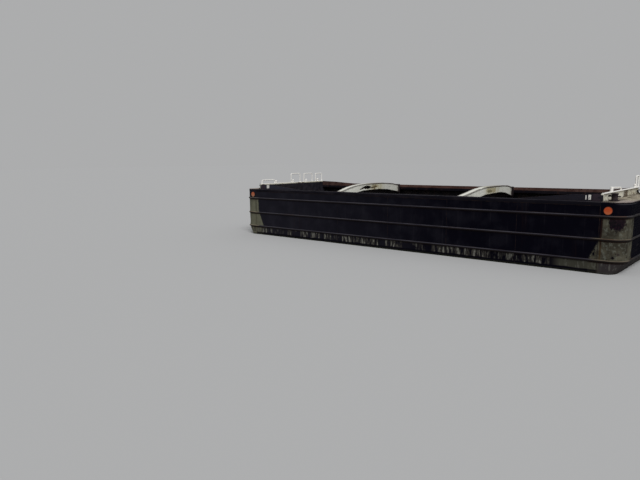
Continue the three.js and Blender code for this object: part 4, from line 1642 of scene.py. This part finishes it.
def hoop(node, pipe, bend, foot=0.0, drop=0.0):
    # bent pipe on welded feet; a foot radius makes the first leg a stout post, drop lowers the second corner
    low, high, middle = boxOf(node)
    start, finish = low.y + max(pipe, foot), high.y - pipe
    top = high.z - (pipe + 0.004 if foot else pipe)
    spots = [(start, z) for z in steps(low.z, top - bend, 0.08)]
    spots += [(start + bend + bend * cos, top - bend + bend * sin) for cos, sin in arc(2, 1, 8)[1:]]
    ys = steps(start + bend, finish - bend, 0.08)
    spots += [(y, top - drop * step / (len(ys) - 1)) for step, y in enumerate(ys)][1:]
    top -= drop
    spots += [(finish - bend + bend * cos, top - bend + bend * sin) for cos, sin in arc(1, 0, 8)[1:]]
    spots += [(finish, z) for z in steps(top - bend, low.z, 0.08)[1:]]
    path = [Vector((middle.x, y, z)) for y, z in spots]
    for point in path:
        point.x += 0.003 * noise.noise(point * 3.0) * min(1.0, (point.z - low.z) / 0.1)
    bm = bmesh.new()
    tube(bm, path, pipe, 22)
    for y, radius in ((start, max(pipe, foot)), (finish, pipe)):
        collar = [(radius + 0.010, 0.0), (radius + 0.010, 0.005), (radius + 0.004, 0.010),
                  (radius - 0.002, 0.014)]
        turned(bm, collar, (middle.x, y, low.z), 28)
    if foot:
        rise = high.z - low.z
        stout = [(foot, 0.0), (foot, rise - 0.012), (foot * 0.95, rise - 0.004), (foot * 0.8, rise)]
        turned(bm, stout, (middle.x, start, low.z), 36)
    place(f"{node}_pipe", bm, "fitting", [node])


for end in ends:
    for side in sides:
        disc(end, side)
        bollard(end, side)
for node in sorted(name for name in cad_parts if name.startswith("knob_post")):
    knobPost(node)
for node, sizes in hoopPipes.items():
    hoop(node, **sizes)
print("fittings made")


# Manhole covers on the end decks

cover = {
    "x": 8.11,
    "long": 0.62,
    "wide": 0.42,
    # inset from the edge and height above the deck
    "levels": ((0.0, 0.0), (0.0, 0.008), (0.004, 0.010), (0.035, 0.010), (0.035, 0.0175), (0.039, 0.020)),
    "boltInset": 0.065,
    "bolts": 14,
}


def oval(inset, share):
    # a point on the cover's outline, straight along both sides, with share going round once
    radius = cover["wide"] / 2 - inset
    straight = cover["long"] - cover["wide"]
    gone = share * 2 * (straight + math.pi * radius)
    if gone < straight:
        return radius, -straight / 2 + gone
    gone -= straight
    if gone < math.pi * radius:
        return radius * math.cos(gone / radius), straight / 2 + radius * math.sin(gone / radius)
    gone -= math.pi * radius
    if gone < straight:
        return -radius, straight / 2 - gone
    angle = math.pi + (gone - straight) / radius
    return radius * math.cos(angle), -straight / 2 + radius * math.sin(angle)


def manholeCover(end, sign):
    base, points = hull["deck"] + 0.001, 72

    def spot(inset, share, up):
        offX, offY = oval(inset, share)
        return (sign * cover["x"] + offX, offY, base + up)

    bm = bmesh.new()
    skin(bm, [[spot(inset, step / points, up) for step in range(points)] for inset, up in cover["levels"]])
    for step in range(cover["bolts"]):
        centre = spot(cover["boltInset"], (step + 0.5) / cover["bolts"], 0.0195)
        bolt(bm, centre, (0, 0, 1), across=0.019, height=0.010)
    place(f"manhole_cover_{end}", bm, "deck")


for end, sign in ends.items():
    manholeCover(end, sign)
print("manhole covers made")


# Weld runs along the seams of the plating, the gunwales, the decks and the hold

welds = {
    "butts": (-5.18, -2.59, 0.0, 2.59, 5.18),      # upright joints of the side plating, along X
    "holdShift": 1.2,                               # the hold's own joints lie this much further right
    "wingReach": (5.17, 7.64),
    # radius of each kind of bead
    "thin": 0.006,
    "middling": 0.009,
    "stout": 0.010,
    "deck": 0.008,
    "wing": 0.007,
}


def outerWelds(side, sign):
    bm = bmesh.new()
    out = Vector((0, sign, 0))
    reach, bilge, top, flush = hull["endStart"], hull["bilgeRadius"], hull["wallTop"], sign * hull["side"]
    for x in welds["butts"]:
        path = [(Vector((x, sign * (hull["side"] - outerDepth(side, x, z) - 0.001), z)), out)
                for z in steps(bilge, top - 0.01, 0.04)]
        weldRun(bm, path, welds["thin"])
    for x in (reach, -reach):
        y = flush - sign * 0.001
        seam(bm, (x, y, bilge), (x, y, hull["deck"] - 0.01), out, welds["middling"])
    seam(bm, (-reach, flush, top), (reach, flush, top), out, welds["thin"])
    for level in railLevels.values():
        for way in (-1, 1):
            z = level + way * (railSizes["half"] + 0.001)
            seam(bm, (-reach, flush, z), (reach, flush, z), (0, sign, way), welds["thin"])
    place(f"weld_runs_{side}", bm, "weld")


def holdWelds():
    bm = bmesh.new()
    reach, inner, floor, top = hull["holdEnd"], hull["wallInner"], hull["floorTop"], hull["wallTop"]
    middling, stout = welds["middling"], welds["stout"]
    for sign in (-1, 1):
        side = "far" if sign > 0 else "near"
        y = sign * inner
        seam(bm, (-reach, y, floor), (reach, y, floor), (0, -sign, 1), stout)
        seam(bm, (sign * reach, -inner, floor), (sign * reach, inner, floor), (-sign, 0, 1), stout)
        seam(bm, (-reach, y, top), (reach, y, top), (0, -sign, -1), middling)
        for end in (-1, 1):
            seam(bm, (end * reach, y, floor), (end * reach, y, top), (-end, -sign, 0), stout)
        for x in (butt + welds["holdShift"] for butt in welds["butts"]):
            path = [(Vector((x, sign * (inner + innerDepth(side, x, z) + 0.001), z)), Vector((0, -sign, 0)))
                    for z in steps(floor, top, 0.05)]
            weldRun(bm, path, welds["thin"])
    place("weld_runs_hold", bm, "weld")


def deckWelds():
    bm = bmesh.new()
    deck, wide = hull["deck"], endWall["outer"]
    for end in ends.values():
        x = end * hull["endStart"]
        seam(bm, (x, -wide, deck), (x, wide, deck), (end, 0, 1), welds["deck"])
        for sign in sides.values():
            y, z = sign * (wing["outer"] - wing["slack"]), deck - 0.001
            toe, wall = (end * reach for reach in welds["wingReach"])
            seam(bm, (toe, y, z), (wall, y, z), (0, sign, 1), welds["wing"])
    place("weld_runs_deck", bm, "weld")


for side, sign in sides.items():
    outerWelds(side, sign)
holdWelds()
deckWelds()
print("weld runs made")


# Studio: pale floor at the waterline, open under the hull, and soft light

studio = {
    "floorReach": 400.0,
    "floorColour": (0.437, 0.439, 0.441),
    "worldColour": (0.985, 0.992, 1.0),
    "worldStrength": 0.42,
    "sunFrom": (9, -8, 12),
    "sunStrength": 2.4,
    "sunAngle": 32,
}


def studioFloor():
    reach = studio["floorReach"]
    holeX = (hull["holdEnd"] + hull["endStart"]) / 2
    holeY = (hull["wallInner"] + hull["side"]) / 2
    xs = (-reach, -holeX, holeX, reach)
    ys = (-reach, -holeY, holeY, reach)
    bm = bmesh.new()
    grid = [[bm.verts.new((x, y, hull["waterline"])) for y in ys] for x in xs]
    for column in range(3):
        for row in range(3):
            if (column, row) != (1, 1):
                bm.faces.new((grid[column][row], grid[column + 1][row], grid[column + 1][row + 1],
                              grid[column][row + 1]))
    mesh = bpy.data.meshes.new("studio_floor")
    bm.to_mesh(mesh)
    bm.free()
    sheet = Sheet("studio_floor", studio)
    sheet.colour = sheet.tint("floorColour")
    mesh.materials.append(sheet.finish(0.9, specular=0.0))
    floor = bpy.data.objects.new("studio_floor", mesh)
    bpy.context.scene.collection.objects.link(floor)


def softSun(name):
    data = bpy.data.lights.new(name, "SUN")
    data.energy = studio["sunStrength"]
    data.angle = math.radians(studio["sunAngle"])
    light = bpy.data.objects.new(name, data)
    light.location = studio["sunFrom"]
    light.rotation_euler = Vector(studio["sunFrom"]).to_track_quat("Z", "Y").to_euler()
    bpy.context.scene.collection.objects.link(light)


def softSky(name):
    world = bpy.data.worlds.new(name)
    bpy.context.scene.world = world
    world.use_nodes = True
    backdrop = world.node_tree.nodes["Background"]
    backdrop.inputs["Color"].default_value = (*studio["worldColour"], 1.0)
    backdrop.inputs["Strength"].default_value = studio["worldStrength"]


studioFloor()
softSun("soft_key")
softSky("studio")
bpy.context.scene.view_settings.view_transform = "Standard"

# Camera: fitted to the photograph's view of the hull
view = {
    "lens": 30.625,
    "sensor": 36.0,
    "place": (12.266, -20.586, 3.984),
    "yaw": 41.738,
    "pitch": 8.938,
    "roll": -0.701,
    "shift": (0.0046, 0.0099),
    "farthest": 2000.0,
}


def makeCamera():
    yaw, pitch, roll = (math.radians(view[name]) for name in ("yaw", "pitch", "roll"))
    ahead = Vector((-math.sin(yaw) * math.cos(pitch), math.cos(yaw) * math.cos(pitch), -math.sin(pitch)))
    right = Vector((math.cos(yaw), math.sin(yaw), 0.0))
    up = right.cross(ahead)
    tiltedRight = right * math.cos(roll) + up * math.sin(roll)
    tiltedUp = up * math.cos(roll) - right * math.sin(roll)
    data = bpy.data.cameras.new("camera")
    data.lens = view["lens"]
    data.sensor_width = view["sensor"]
    data.shift_x, data.shift_y = view["shift"]
    data.clip_end = view["farthest"]
    camera = bpy.data.objects.new("camera", data)
    turn = Matrix((tiltedRight, tiltedUp, -ahead)).transposed()
    camera.matrix_world = Matrix.Translation(view["place"]) @ turn.to_4x4()
    bpy.context.scene.collection.objects.link(camera)
    bpy.context.scene.camera = camera


makeCamera()
print("studio and camera made")
